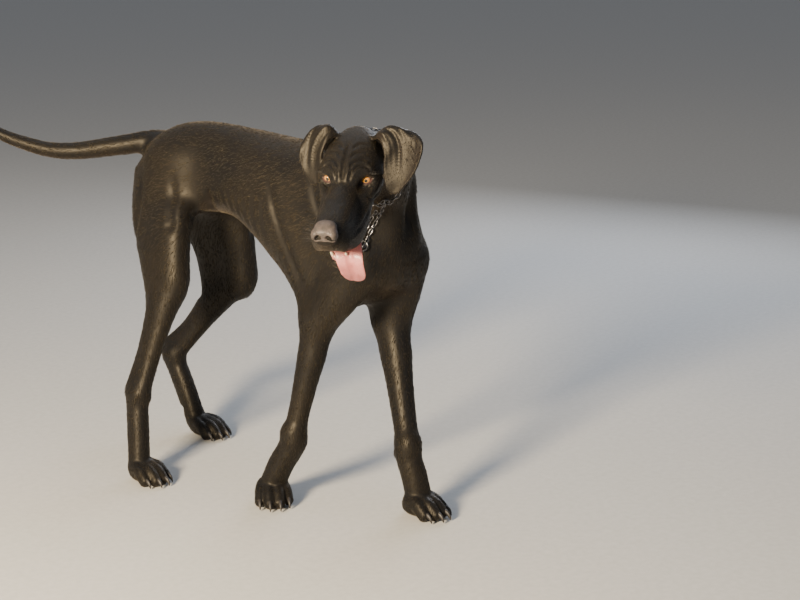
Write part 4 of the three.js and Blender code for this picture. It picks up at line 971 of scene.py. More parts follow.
def node(tree, kind, settings=None, *inputs, **named):
    """Adds one node: settings first, then the values or links of its sockets."""
    n = tree.nodes.new(kind)
    for key, value in (settings or {}).items():
        setattr(n, key, value)
    for key, value in list(enumerate(inputs)) + list(named.items()):
        socket = n.inputs[key if isinstance(key, int) else key.replace("_", " ")]
        if isinstance(value, Shade):
            value = value.socket
        if isinstance(value, bpy.types.NodeSocket):
            tree.links.new(value, socket)
        elif value is not None:
            socket.default_value = value
    return n


class Finish:
    """A material under construction."""

    def __init__(self, name, **fixed):
        self.material = bpy.data.materials.new(name)
        self.material.use_nodes = True
        self.tree = self.material.node_tree
        self.shader = self.tree.nodes["Principled BSDF"]
        for key, value in fixed.items():
            self.shader.inputs[key.replace("_", " ")].default_value = value
        # Every pattern is read from the object's own coordinates
        self.place = self.add("ShaderNodeTexCoord").outputs["Object"]

    def add(self, kind, settings=None, *inputs, **named):
        return node(self.tree, kind, settings, *inputs, **named)

    def noise(self, scale, detail=3.0, vector=None):
        n = self.add("ShaderNodeTexNoise", None, Vector=vector or self.place, Scale=scale, Detail=detail)
        return Shade(self.tree, n.outputs["Fac"])

    def cells(self, scale, feature="F1"):
        n = self.add("ShaderNodeTexVoronoi", {"feature": feature}, Vector=self.place, Scale=scale)
        return Shade(self.tree, n.outputs["Distance"])

    def mark(self, name):
        """One channel of a vertex attribute, as name or name.r."""
        base, _, channel = name.partition(".")
        a = self.add("ShaderNodeAttribute", {"attribute_name": base})
        if not channel:
            return Shade(self.tree, a.outputs["Fac"])
        parts = self.add("ShaderNodeSeparateColor", None, a.outputs["Color"])
        return Shade(self.tree, parts.outputs["rgb".index(channel)])

    def blend(self, fac, a, b):
        """Colour between a and b."""
        m = self.add("ShaderNodeMix", {"data_type": "RGBA"})
        for key, value in ((0, fac), (6, a), (7, b)):
            if isinstance(value, Shade):
                value = value.socket
            if isinstance(value, bpy.types.NodeSocket):
                self.tree.links.new(value, m.inputs[key])
            else:
                m.inputs[key].default_value = (*value, 1) if key else value
        return m.outputs[2]

    def ramp(self, fac, low, high):
        """0 below low, 1 above high."""
        n = self.add("ShaderNodeMapRange", {"interpolation_type": "SMOOTHSTEP"}, fac, low, high, 0.0, 1.0)
        return Shade(self.tree, n.outputs[0])

    def stretch(self, way, by):
        """Object position squeezed along a direction, for streaks that run that way."""
        w = Vector(way).normalized()
        dot = self.add("ShaderNodeVectorMath", {"operation": "DOT_PRODUCT"}, self.place, w)
        share = Shade(self.tree, dot.outputs["Value"]) * by
        far = self.add("ShaderNodeVectorMath", {"operation": "SCALE"}, w, Scale=share)
        out = self.add("ShaderNodeVectorMath", {"operation": "SUBTRACT"}, self.place, far.outputs[0])
        return out.outputs[0]

    def set(self, **sockets):
        for key, value in sockets.items():
            if isinstance(value, Shade):
                value = value.socket
            self.tree.links.new(value, self.shader.inputs[key.replace("_", " ")])

    def bump(self, height, strength, distance, under=None):
        n = self.add("ShaderNodeBump", None, Height=height, Strength=strength, Distance=distance)
        if under:
            self.tree.links.new(under, n.inputs["Normal"])
        return n.outputs[0]


def loft(rings):
    """Faces over rings of points with both ends closed by fans; returns points and faces."""
    m = len(rings[0])
    V = [p for ring in rings for p in ring]
    F = []
    for i in range(len(rings) - 1):
        for j in range(m):
            k = (j + 1) % m
            F.append((i * m + j, i * m + k, (i + 1) * m + k, (i + 1) * m + j))
    V += [np.mean(rings[0], axis=0), np.mean(rings[-1], axis=0)]
    a, b, last = len(V) - 2, len(V) - 1, (len(rings) - 1) * m
    for j in range(m):
        k = (j + 1) % m
        F.append((a, k, j))
        F.append((b, last + j, last + k))
    return V, F


def outward(me):
    """Faces turned outward."""
    bm = bmesh.new()
    bm.from_mesh(me)
    bmesh.ops.recalc_face_normals(bm, faces=bm.faces)
    bm.to_mesh(me)
    bm.free()
    return me


def cord(points, radii, side, around=12, flat=1.0):
    """A rod through points with its own half width at each, flattened by flat."""
    P = np.asarray(points, float)
    t = np.gradient(P, axis=0)
    t /= np.linalg.norm(t, axis=1)[:, None]
    u = np.asarray(side, float) - (t @ np.asarray(side, float))[:, None] * t
    u /= np.linalg.norm(u, axis=1)[:, None]
    v = np.cross(t, u)
    g = np.arange(around) / around * 2 * math.pi
    return [[P[i] + u[i] * math.cos(a) * radii[i] + v[i] * math.sin(a) * radii[i] * flat for a in g]
            for i in range(len(P))]


def joined(pieces):
    """Several points-and-faces pairs as one."""
    V, F = [], []
    for v, f in pieces:
        F += [tuple(i + len(V) for i in face) for face in f]
        V += list(v)
    return V, F


def nose():
    """Leather of the nose, meshed finely for its nostrils."""
    parts = nose_parts()
    X = [ticks([138, (204, STEP_NOSE)]), ticks([-34, (34, STEP_NOSE)]), ticks([-44, (22, STEP_NOSE)])]
    bm = piece_mesh(*nets(lambda p: flesh(parts, p) + 0.2, X, to_world=from_head))
    bmesh.ops.recalc_face_normals(bm, faces=bm.faces)
    for v in bm.verts:
        v.co = Vector(place(v.co))
    me = bpy.data.meshes.new("nose")
    bm.to_mesh(me)
    bm.free()
    add_object("nose_leather", me, NOSE, ["nose"])


def tongue():
    """The tongue, lolling over the left lip with a furrow along its middle."""
    rows = [[60, 0, 2, 15, 9], [92, 0, 5, 20, 9], [130, 5, 12, 25, 8], [162, 12, 15, 28.5, 7.5],
            [186, 19, 13, 28, 7], [204, 24, 2, 27, 6.5], [211, 26, -17, 26, 6], [212, 25, -33, 23.5, 5.5],
            [211, 22, -46, 17.5, 5], [210, 20, -53, 10.5, 4], [209, 19, -56.5, 3.6, 2.2]]
    fine = spline(rows, 46)
    centre = np.array([jaw(*q[:3]) for q in fine])
    t = np.gradient(centre, axis=0)
    t /= np.linalg.norm(t, axis=1)[:, None]
    rings = []
    m = 36
    for i, q in enumerate(fine):
        side = unit(LEFT - (LEFT @ t[i]) * t[i])
        up = np.cross(t[i], side) * (1 if np.cross(t[i], side) @ (JAW_UP + JAW_WAY) > 0 else -1)
        far = i / (len(fine) - 1)
        ring = []
        for j in range(m):
            a = 2 * math.pi * j / m
            x, y = math.cos(a), math.sin(a)
            w = q[3] * np.sign(x) * abs(x) ** 0.8
            h = q[4] * 0.5 * np.sign(y) * abs(y) ** 0.9
            groove = -5.6 * math.exp(-(w / 3.6) ** 2) * (y > 0) * math.sin(math.pi * min(1,
                                                                                         far * 1.25)) ** 0.5
            cup = 4.2 * (w / max(q[3], 1)) ** 2 * (1 - 0.6 * far)
            ripple = 0.9 * math.sin(far * 34 + 2.5 * w / 30) * abs(w / 31) ** 3
            ring.append(centre[i] + side * w + up * (h + groove * (h > 0) + cup + ripple))
        rings.append(ring)
    me = outward(mesh_from("tongue", *loft(rings)))
    add_object("tongue_flesh", me, TONGUE, ["tongue"])


TOOTH_SEED = 3


def teeth():
    """Lower gum, and the lower teeth that the open mouth shows."""
    half = [[126, 25, -2, 5.5], [150, 23, 0, 5.5], [176, 18.5, 2.5, 5.2], [193, 11, 4.5, 5]]
    gum = spline([[a, -b, c, r] for a, b, c, r in half] + [[199, 0, 5, 5]] + half[::-1], 44)
    rings = cord([jaw(*q[:3]) for q in gum], gum[:, 3], JAW_UP, 12)
    me = outward(mesh_from("gum", *loft(rings)))
    add_object("gum_lower", me, GUM)
    made = []
    rng = np.random.default_rng(TOOTH_SEED)

    def tooth(a, b, c, tall, wide, deep, lean=0.0):
        rings = []
        out = unit(JAW_WAY * (a - 150) + LEFT * b * 2.0)
        across = np.cross(JAW_UP, out)
        for t in np.linspace(0, 1, 9):
            r = (1 - t ** 2.4) ** 0.5 if t < 0.99 else 0.06
            mid = jaw(a, b, c + tall * t) + out * lean * t * t
            ring = []
            for k in range(10):
                g = 2 * math.pi * k / 10
                ring.append(mid + across * math.cos(g) * wide * r + out * math.sin(g) * deep * r)
            rings.append(ring)
        made.append(loft(rings))
    for b in (-8.6, -5.2, -1.75, 1.75, 5.2, 8.6):
        tooth(199.5 - b * b * 0.055, b, 7, 6.6 + rng.uniform(-0.5, 0.5), 1.75, 1.5, 1.0)
    for s in (1, -1):
        tooth(190, s * 14, 4, 18, 3.5, 3.9, 3.0)
        cheek = (176, 18.8, 5, 2.4), (165, 20.6, 6.5, 3.2), (153, 22.4, 7.5, 3.8), (140, 23.8, 8.5, 4.4)
        for k, (a, b, tall, wide) in enumerate(cheek):
            tooth(a, s * b, 3.5 - k, tall, wide, 2.2)
    me = outward(mesh_from("teeth", *joined(made)))
    add_object("teeth_enamel", me, TOOTH, ["teeth_lower"])


def claws():
    """A curved claw on each toe."""
    curve = ((27, 1.04, 19, 3.8), (33, 1.055, 18.2, 3.9), (38, 1.07, 15.8, 3.5), (42, 1.08, 11.6, 2.7),
             (44.6, 1.09, 6.4, 1.4), (45.2, 1.09, 4.2, 0.5))
    for paw in PAWS:
        for i, (b, a, _) in enumerate(TOES):
            rows = spline([[a + ahead, b * out, high, half] for ahead, out, high, half in curve], 16)
            centre = [paw.at(*q[:3]) for q in rows]
            rings = cord(centre, rows[:, 3] * paw.size, paw.l, 14, 1.28)
            me = outward(mesh_from("claw", *loft(rings)))
            name = "%s_%d" % (paw.name, i + 1)
            add_object("claw_horn_" + name, me, CLAW, ["claw_" + name])


def laid(p, off):
    """A point moved along the slope of the flesh until it lies off above it."""
    q = np.array(p, float)
    for _ in range(5):
        e = np.vstack([q, q + np.eye(3) * 0.5, q - np.eye(3) * 0.5])
        f = flesh(ALL_PARTS, e)
        q = q - unit(f[1:4] - f[4:7]) * (f[0] - off)
    return q


def chain():
    """Welded links round the neck, with the doubled loose end and its rings hanging on the throat."""
    n = CHAIN_WAY
    u = unit(np.cross(UP, n))
    v = np.cross(n, u)
    loop = []
    for g in np.arange(96) / 96 * 2 * math.pi:
        way = u * math.cos(g) + v * math.sin(g)
        r = np.arange(20, 170, 1.0)
        f = flesh(ALL_PARTS, CHAIN_AT + way * r[:, None])
        loop.append(CHAIN_AT + way * r[np.argmax(f > 3.4)])
    loop = np.array(loop)
    links, rings = [], []

    def set_link(c, t, flat, size, where=links):
        up = unit(flat - (flat @ t) * t)
        where.append((place(c), t, up, size))

    def string(points, closed):
        """Sets links along a path, each leaning the other way from the last."""
        P = np.vstack([points, points[:1]]) if closed else np.asarray(points)
        run = np.r_[0, np.cumsum(np.linalg.norm(np.diff(P, axis=0), axis=1))]
        count = 2 * round(run[-1] / LINK_PITCH / 2) if closed else max(2, round(run[-1] / LINK_PITCH))
        step = run[-1] / count
        for i in range(count + (0 if closed else 1)):
            def at(x):
                return np.array([np.interp(x % run[-1] if closed else x, run, P[:, k]) for k in range(3)])
            c = at(i * step)
            t = unit(at(i * step + 3) - at(i * step - 3))
            e = np.vstack([c + np.eye(3), c - np.eye(3)])
            f = flesh(ALL_PARTS, e)
            out = unit(f[:3] - f[3:])
            out = unit(out - (out @ t) * t)
            across = np.cross(t, out)
            lean = 0.72 if i % 2 else -0.72
            set_link(c, t, out * lean + across * 0.69, (1, (step / 2 + LINK_OVERLAP) / LINK_HALF, 1))
    string(loop, True)
    for knots in (CHAIN_END, CHAIN_TURN):
        string([laid(q, 4.2) for q in spline(knots, 40)], False)
    low = laid((vec(*CHAIN_END[-1]) + vec(*CHAIN_TURN[0])) / 2, 4.4)
    top = laid(CHAIN_END[0], 4.6)
    for c, r in ((low, 11.5), (top, 9.5)):
        out = unit(laid(c, 9) - c)
        t = unit(-UP + out * (UP @ out))
        set_link(c, t, np.cross(t, unit(np.cross(out, t))), (r / 11.5,) * 3, rings)
    bm = bmesh.new()
    for name, spots, sizes in (("chain_link", links, (LINK_HALF / 1000, 0.0034, 0.00115, 18, 8)),
                               ("chain_ring", rings, (0.0115, 0.0115, 0.0016, 30, 10))):
        me = link_grower(name, CHAIN, *sizes).grow(name, *(np.array(q) for q in zip(*spots)))
        bm.from_mesh(me)
        bpy.data.meshes.remove(me)
    me = bpy.data.meshes.new("chain")
    bm.to_mesh(me)
    bm.free()
    add_object("chain_links", outward(me), CHAIN, ["collar_chain"])


WHISKER_SEED = 11


def whiskers(tree):
    """Stiff dark hairs of lips, brows, cheeks and chin."""
    rng = np.random.default_rng(WHISKER_SEED)
    rod = []
    for q in np.linspace(0, 1, 7):
        thin = 1 - 0.88 * q
        rod.append([(0.00034 * thin * math.cos(g), q, 0.0136 * thin * math.sin(g) - 0.19 * q * q)
                    for g in np.arange(5) / 5 * 2 * math.pi])
    grower = shape_grower("whisker", WHISKER, *loft(rod))
    spots = [(150 - 11 * i, 30 + 4.2 * i - 0.5 * i * i, -38 - 5 * r, 34 - 2 * i)
             for i in range(6) for r in range(3)]
    spots += [(6, 40, 14, 22), (2, 34, 16, 20), (-4, 46, 13, 18), (-6, 66, -46, 22)]
    made = []
    for a, b, c, length in spots:
        for s in (1, -1):
            p = head(a, s * b, c)
            if b < 60:
                p = head(a + rng.uniform(-3, 3), s * (b + 20), c + rng.uniform(-2, 2))
            hit, normal, _, _ = tree.find_nearest(Vector(p))
            p, nrm = np.array(hit), np.array(normal)
            way = unit(nrm * 0.8 - FACE * 0.5 + LEFT * s * 0.25 - CROWN * 0.15)
            up = CROWN * 0.93 + FACE * 0.37
            long = length / 1000
            made.append((place(p - nrm * 0.8), way, unit(up - (up @ way) * way), (1, long, long)))
    me = grower.grow("whiskers", *(np.array(q) for q in zip(*made)))
    grower.close()
    add_object("whisker_hairs", outward(me), WHISKER)


class Grower:
    """Geometry nodes that set copies of one shape on points; every size is a named input of the tree."""

    def __init__(self, name, material, **sizes):
        self.tree = bpy.data.node_groups.new(name, "GeometryNodeTree")
        self.sizes = sizes
        self.material = material
        face = self.tree.interface
        face.new_socket("Points", in_out="INPUT", socket_type="NodeSocketGeometry")
        for key, value in sizes.items():
            kind = "NodeSocketObject" if isinstance(value, bpy.types.Object) else "NodeSocketFloat"
            face.new_socket(key, in_out="INPUT", socket_type=kind)
        face.new_socket("Grown", in_out="OUTPUT", socket_type="NodeSocketGeometry")
        self.given = self.add("NodeGroupInput").outputs

    def add(self, kind, settings=None, *values, **named):
        return node(self.tree, kind, settings, *values, **named)

    def vector(self, name):
        """A stored direction or size of each point."""
        got = self.add("GeometryNodeInputNamedAttribute", {"data_type": "FLOAT_VECTOR"}, Name=name)
        return next(q for q in got.outputs if q.enabled and q.name == "Attribute")

    def set_on_points(self, shape):
        """The shape on every point, its Y along way, its Z along up, scaled by size, made real."""
        turn = self.add("FunctionNodeAxesToRotation", {"primary_axis": "Z", "secondary_axis": "Y"},
                        Primary_Axis=self.vector("up"), Secondary_Axis=self.vector("way")).outputs[0]
        points = self.add("GeometryNodeMeshToPoints", None, Mesh=self.given["Points"]).outputs[0]
        copies = self.add("GeometryNodeInstanceOnPoints", None, Points=points, Instance=shape, Rotation=turn,
                          Scale=self.vector("size")).outputs[0]
        real = self.add("GeometryNodeRealizeInstances", None, copies).outputs[0]
        done = self.add("GeometryNodeSetMaterial", None, Geometry=real, Material=self.material).outputs[0]
        self.add("NodeGroupOutput", None, done)
        return self

    def grow(self, name, P, way, up, size, **marks):
        """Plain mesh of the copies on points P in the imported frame's metres."""
        me = bpy.data.meshes.new(name + "_points")
        me.vertices.add(len(P))
        me.vertices.foreach_set("co", np.asarray(P, np.float32).ravel())
        for key, values in dict(way=way, up=up, size=size, **marks).items():
            values = np.asarray(values, np.float32)
            kind, slot = {1: ("FLOAT", "value"), 3: ("FLOAT_VECTOR", "vector"),
                          4: ("FLOAT_COLOR", "color")}[values.size // len(P)]
            me.attributes.new(key, kind, "POINT").data.foreach_set(slot, values.ravel())
        ob = bpy.data.objects.new(name + "_points", me)
        bpy.context.scene.collection.objects.link(ob)
        grown = ob.modifiers.new("grow", "NODES")
        grown.node_group = self.tree
        for item in self.tree.interface.items_tree:
            if item.in_out == "INPUT" and item.name in self.sizes:
                grown[item.identifier] = self.sizes[item.name]
        done = bpy.data.meshes.new_from_object(ob.evaluated_get(bpy.context.evaluated_depsgraph_get()))
        done.name = name
        ob.modifiers.remove(grown)
        bpy.data.objects.remove(ob)
        for key in ("way", "up", "size"):
            done.attributes.remove(done.attributes[key])
        return done

    def close(self):
        """Takes the small shapes away again."""
        for value in self.sizes.values():
            if isinstance(value, bpy.types.Object):
                bpy.data.meshes.remove(value.data)


def shape_grower(name, material, V, F):
    """Tree that sets a given small shape on points; close() takes the shape away."""
    me = bpy.data.meshes.new(name + "_shape")
    me.from_pydata([tuple(v) for v in V], [], [tuple(f) for f in F])
    shape = bpy.data.objects.new(name + "_shape", me)
    bpy.context.scene.collection.objects.link(shape)
    tree = Grower(name, material, Shape=shape)
    info = tree.add("GeometryNodeObjectInfo", None, Object=tree.given["Shape"])
    return tree.set_on_points(info.outputs["Geometry"])


def link_grower(name, material, length, width, wire, turns, around):
    """Tree that bends round wire into oval links; length and width are half sizes of its middle line."""
    tree = Grower(name, material, Length=length, Width=width, Wire=wire)
    size = tree.given

    def circle(resolution, radius):
        return tree.add("GeometryNodeCurvePrimitiveCircle", None, Resolution=resolution,
                        Radius=radius).outputs[0]

    def maths(operation, *values):
        return tree.add("ShaderNodeMath", {"operation": operation}, *values).outputs[0]
    place_of = tree.add("GeometryNodeInputPosition").outputs[0]
    half = maths("SIGN", tree.add("ShaderNodeSeparateXYZ", None, place_of).outputs[1])
    push = maths("MULTIPLY", half, maths("SUBTRACT", size["Length"], size["Width"]))
    move = tree.add("ShaderNodeCombineXYZ", None, 0.0, push, 0.0).outputs[0]
    oval = tree.add("GeometryNodeSetPosition", None, Geometry=circle(turns, size["Width"]),
                    Offset=move).outputs[0]
    rod = circle(around, size["Wire"])
    return tree.set_on_points(tree.add("GeometryNodeCurveToMesh", None, Curve=oval,
                                       Profile_Curve=rod).outputs[0])


def smooth(x, a, b):
    """0 below a, 1 above b, with an even slope between."""
    t = np.clip((x - a) / (b - a), 0, 1)
    return t * t * (3 - 2 * t)


def in_head(P):
    """Forward, left and up of points in the head's own directions."""
    d = P - EYES
    return d @ FACE, d @ LEFT, d @ CROWN


def ear_of(P):
    """Closeness to an ear flap, 1 on it."""
    out = np.zeros(len(P))
    a, b, c = in_head(P)
    near = np.flatnonzero((np.abs(b) > 52) & (a > -125) & (a < 10) & (c < 95))
    for ear in (EAR_LEFT, EAR_RIGHT):
        for i in near:
            hit = ear.tree.find_nearest(Vector(P[i]), 9)
            if hit[0] is not None:
                out[i] = max(out[i], 1 - max(0, hit[3] - 5) / 4)
    return out


def hair(P, N, ear):
    """Unit direction in which the hair lies at each point of the skin."""
    a, b, c = in_head(P)
    n = len(P)
    flow = np.tile((0.0, 0.92, -0.38), (n, 1))
    neck = np.tile((0.5, 0.62, -0.6), (n, 1))
    w = (smooth(-P[:, 1], 210, 330) * smooth(P[:, 2], 560, 680))[:, None]
    flow = flow * (1 - w) + neck * w
    w = smooth(-P[:, 2], -640, -470)[:, None]
    flow = flow * (1 - w) + np.array((0.0, 0.12, -1.0)) * w
    p0, n0 = HEAD_CUT
    w = smooth((P - p0) @ n0, -40, 30)[:, None] * (P[:, 1] < -250)[:, None]
    face = -FACE + np.sign(b)[:, None] * LEFT * 0.25 * (c < 10)[:, None] - CROWN * (0.5 * (c < -20))[:, None]
    flow = flow * (1 - w) + face * w
    flow = flow * (1 - ear[:, None]) + (FACE * 0.35 - CROWN * 0.95) * ear[:, None]
    line = np.array(TAIL)[:, :3]
    d = np.linalg.norm(P[:, None] - line[None], axis=2)
    k = np.clip(d.argmin(1), 1, len(line) - 2)
    w = (P[:, 1] > 400) & (P[:, 2] > 690) & (d.min(1) < 62)
    way = line[k + 1] - line[k - 1]
    flow[w] = way[w] / np.linalg.norm(way[w], axis=1)[:, None]
    flow -= (flow * N).sum(1)[:, None] * N
    size = np.linalg.norm(flow, axis=1)
    flow[size < 0.05] = np.cross(N[size < 0.05], (0.3, 0.9, 0.2))
    return flow / np.maximum(np.linalg.norm(flow, axis=1), 1e-6)[:, None]


# Rim of the upper lip from the corner of the mouth to its middle
LIP = [[14, 45, -54], [36, 50, -70], [75, 48, -84], [112, 41, -86], [147, 27, -70], [166, 12, -52],
       [170, 0, -46]]


def markings(P, N, ear):
    """Colour attribute: bare skin, fine short hair, warm thin coat, and wet pink skin in alpha."""
    a, b, c = in_head(P)
    p0, n0 = HEAD_CUT
    on_head = smooth((P - p0) @ n0, -10, 30) * (P[:, 1] < -300)
    fine = np.maximum(on_head, smooth(-P[:, 2], -150, -60))
    bare = np.zeros(len(P))
    pink = np.zeros(len(P))
    for s in (1, -1):
        lid = Lids(s)
        r, x, y = lid.angles(P)
        rim = smooth(-r, -EYE_RADIUS - 4.6, -EYE_RADIUS - 1.2) * (np.abs(y) < 0.75) * (np.abs(x) < 1.4)
        bare = np.maximum(bare, rim)
        low = rim * smooth(-y, -0.1, 0.25) * smooth(-r, -EYE_RADIUS - 3.4, -EYE_RADIUS - 0.8)
        pink = np.maximum(pink, low * 0.14)
        lip = np.array([head(q[0], s * q[1], q[2]) for q in spline(LIP, 40)])
        d = np.linalg.norm(P[:, None] - lip[None], axis=2).min(1)
        bare = np.maximum(bare, smooth(-d, -9, -4))
    pad = np.zeros(len(P))
    for paw in PAWS:
        d = np.linalg.norm((P - paw.at0)[:, :2], axis=1)
        pad = np.maximum(pad, (d < 75) * smooth(-P[:, 2], -11, -7) * smooth(-N[:, 2], 0.1, 0.6))
    bare = np.maximum(bare, pad)
    jd = P - JAW_HINGE
    ja, jc = jd @ JAW_WAY, jd @ JAW_UP
    inside = (ja > 20) & (ja < 196) & (np.abs(b) < 40) & (c < -38)
    floor = inside & (jc > -8) & (N @ JAW_UP > 0.6) & (np.abs(b) < 24)
    roof = inside & (jc > 6) & (N @ CROWN < -0.25) & (np.abs(b) < 34)
    pink = np.maximum(pink, (floor | roof) * 1.0)
    edge = inside & (np.abs(N @ JAW_UP) < 0.5) & (jc > -14)
    bare = np.maximum(bare, edge * smooth(-np.abs(jc), -14, -4) * 0.8)
    side = (N @ LEFT) * np.sign(b)
    cup = ear * smooth(-side, 0.1, 0.6)
    bare = np.maximum(bare, cup * 0.2)
    warm = np.maximum(smooth(-N[:, 2], 0.35, 0.9) * smooth(P[:, 2], 400, 520), cup * 0.35)
    warm = np.maximum(warm, smooth(-N[:, 2], 0.2, 0.8) * on_head * 0.6)
    return np.stack([bare, fine, warm, pink], 1)


def chart(P, ear):
    """Unwrap of the dog's form: one island for each stretch, round its axis and along it."""
    a, b, c = in_head(P)
    u = np.arctan2(P[:, 0] - spine(P[:, 1]), P[:, 2] - 660) / (2 * math.pi) + 0.5
    v = (P[:, 1] + 560) / 980
    cell = np.zeros(len(P), int)
    best = np.full(len(P), 1e9)
    p0, n0 = HEAD_CUT
    on = ((P - p0) @ n0 > 0) & (P[:, 1] < -300) & (P[:, 2] > 600)
    u = np.where(on, np.arctan2(b, c + 20) / (2 * math.pi) + 0.5, u)
    v = np.where(on, (a + 150) / 380, v)
    cell[on] = 1
    for i, leg in enumerate(list(FORE.values()) + list(HIND.values())):
        top = leg["elbow"] if "elbow" in leg else leg["knee"]
        mid = leg["wrist"] if "wrist" in leg else leg["hock"]
        t = np.clip((P[:, 2] - mid[2]) / (top[2] - mid[2]), 0, 1)[:, None]
        low = np.clip(P[:, 2] / mid[2], 0, 1)[:, None]
        axis = np.where(P[:, 2:] > mid[2], mid + (top - mid) * t, leg["paw"] + (mid - leg["paw"]) * low)
        d = (P - axis)[:, :2]
        near = (P[:, 2] < 520) & (np.linalg.norm(d, axis=1) < 110) & ((P[:, 1] < 60) == ("elbow" in leg))
        gap = np.linalg.norm(d, axis=1)
        take = near & (gap < best)
        best = np.where(take, gap, best)
        u = np.where(take, np.arctan2(d[:, 0], d[:, 1]) / (2 * math.pi) + 0.5, u)
        v = np.where(take, P[:, 2] / 520, v)
        cell[take] = 2 + i
    tail = (P[:, 1] > 428) & (P[:, 2] > 690)
    across, along, high = np.array(TAIL[1:])[:, :3].T
    turned = np.arctan2(P[:, 2] - np.interp(P[:, 1], along, high),
                        P[:, 0] - np.interp(P[:, 1], along, across))
    u = np.where(tail, turned / (2 * math.pi) + 0.5, u)
    v = np.where(tail, (P[:, 1] - 428) / 340, v)
    cell[tail] = 6
    flap = ear > 0.5
    u = np.where(flap, np.abs(a + 55) / 110, u)
    v = np.where(flap, (c + 60) / 160, v)
    cell[flap] = np.where(b[flap] > 0, 7, 8)
    u, v = np.clip(u, 0.01, 0.99), np.clip(v, 0.01, 0.99)
    return np.stack([(cell % 3 + 0.03 + 0.94 * u) / 3, (cell // 3 + 0.03 + 0.94 * v) / 3], 1)


# One tuft: flat root ring, middle ring and tip, its hair along Y and its back towards Z.
TUFT = [(-0.5, 0, -0.6), (0.5, 0, -0.6), (0, 0, -0.1), (-0.42, 0.55, 0.45), (0.42, 0.55, 0.45),
        (0, 0.55, 0.8),
        (0, 1, 0.75)]
TUFT_FACES = [(0, 1, 2), (1, 0, 3), (1, 3, 4), (2, 1, 4), (2, 4, 5), (0, 2, 5), (0, 5, 3), (4, 3, 6),
              (5, 4, 6),
              (3, 5, 6)]
# Each point's place within the tuft's own patch of the chart
PATCH = np.array([(-1, -1), (1, -1), (0, -0.6), (-0.8, 0.3), (0.8, 0.3), (0, 0.4), (0, 1)]) * 0.0015
BODY_HAIR = 15
EAR_HAIR = 4.5
TUFT_WIDTH = 1.25
COAT_SEED = 7


def coat(V, T, N, F, M, E):
    """Short flat tufts over the skin: its points, triangles, normals, lie of the hair, markings and ears."""
    rng = np.random.default_rng(COAT_SEED)
    A, B, C = V[T[:, 0]], V[T[:, 1]], V[T[:, 2]]
    area = np.linalg.norm(np.cross(B - A, C - A), axis=1) / 2
    m = M[T].mean(1)
    fine = m[:, 1]
    ear = E[T].mean(1)
    z = A[:, 2]
    length = BODY_HAIR - 9.0 * fine - 3.0 * smooth(-z, -560, -300) * (1 - fine)
    length = np.where(ear > 0.3, EAR_HAIR, length)
    width = TUFT_WIDTH - 0.5 * fine
    weight = area / (length * width) * (1 - smooth(m[:, 0], 0.25, 0.6)) * (m[:, 3] < 0.2) * (z > 16)
    weight *= np.where(ear > 0.3, 0.3, 1.0)
    share = TUFTS / weight.sum()
    count = rng.poisson(weight * share)
    f = np.repeat(np.arange(len(T)), count)
    r1, r2 = np.sqrt(rng.random(len(f))), rng.random(len(f))
    bary = np.stack([1 - r1, r1 * (1 - r2), r1 * r2], 1)[:, :, None]
    P = (V[T[f]] * bary).sum(1)
    nn = (N[T[f]] * bary).sum(1)
    nn /= np.linalg.norm(nn, axis=1)[:, None]
    way = (F[T[f]] * bary).sum(1)
    turn = rng.normal(0, 0.16, len(f))[:, None]
    side = np.cross(way, nn)
    way = way * np.cos(turn) + side * np.sin(turn)
    way -= (way * nn).sum(1)[:, None] * nn
    way /= np.linalg.norm(way, axis=1)[:, None]
    side = np.cross(way, nn)
    k = rng.uniform(0.7, 1.25, len(f))[:, None]
    L = length[f][:, None] * k
    W = width[f][:, None] * rng.uniform(0.7, 1.3, len(f))[:, None]
    lift = np.where(fine[f] > 0.5, 0.3, 0.55)[:, None] * rng.uniform(0.5, 1.4, len(f))[:, None] + 0.3
    size = np.hstack([W, L, lift]) * 0.001
    tip = P + way * L
    mark = (M[T[f]] * bary).sum(1)
    uv = chart(P, np.where(E[T[f]].mean(1) > 0.5, 1.0, 0.0))
    zone = np.select([tip[:, 1] < -380, P[:, 2] < 400, P[:, 1] < -90, P[:, 1] < 190], [0, 1, 2, 3], 4)
    zone = zone * 2 + (P[:, 0] > spine(P[:, 1]))
    grower = shape_grower("tuft", COAT, TUFT, TUFT_FACES)
    for q in np.unique(zone):
        own = np.flatnonzero(zone == q)
        me = grower.grow("coat_%02d" % q, place(P[own]), way[own], nn[own], size[own], marks=mark[own],
                         tone=rng.random(len(own)))
        index = np.zeros(len(me.loops), np.int32)
        me.loops.foreach_get("vertex_index", index)
        layer = me.uv_layers.new(name="OFBake")
        at = uv[own][index // len(TUFT)] + PATCH[index % len(TUFT)]
        layer.data.foreach_set("uv", at.astype(np.float32).ravel())
        add_object("coat_tufts_%02d" % q, me, COAT)
    grower.close()
    print("coat", len(f) * len(TUFT_FACES), "triangles")


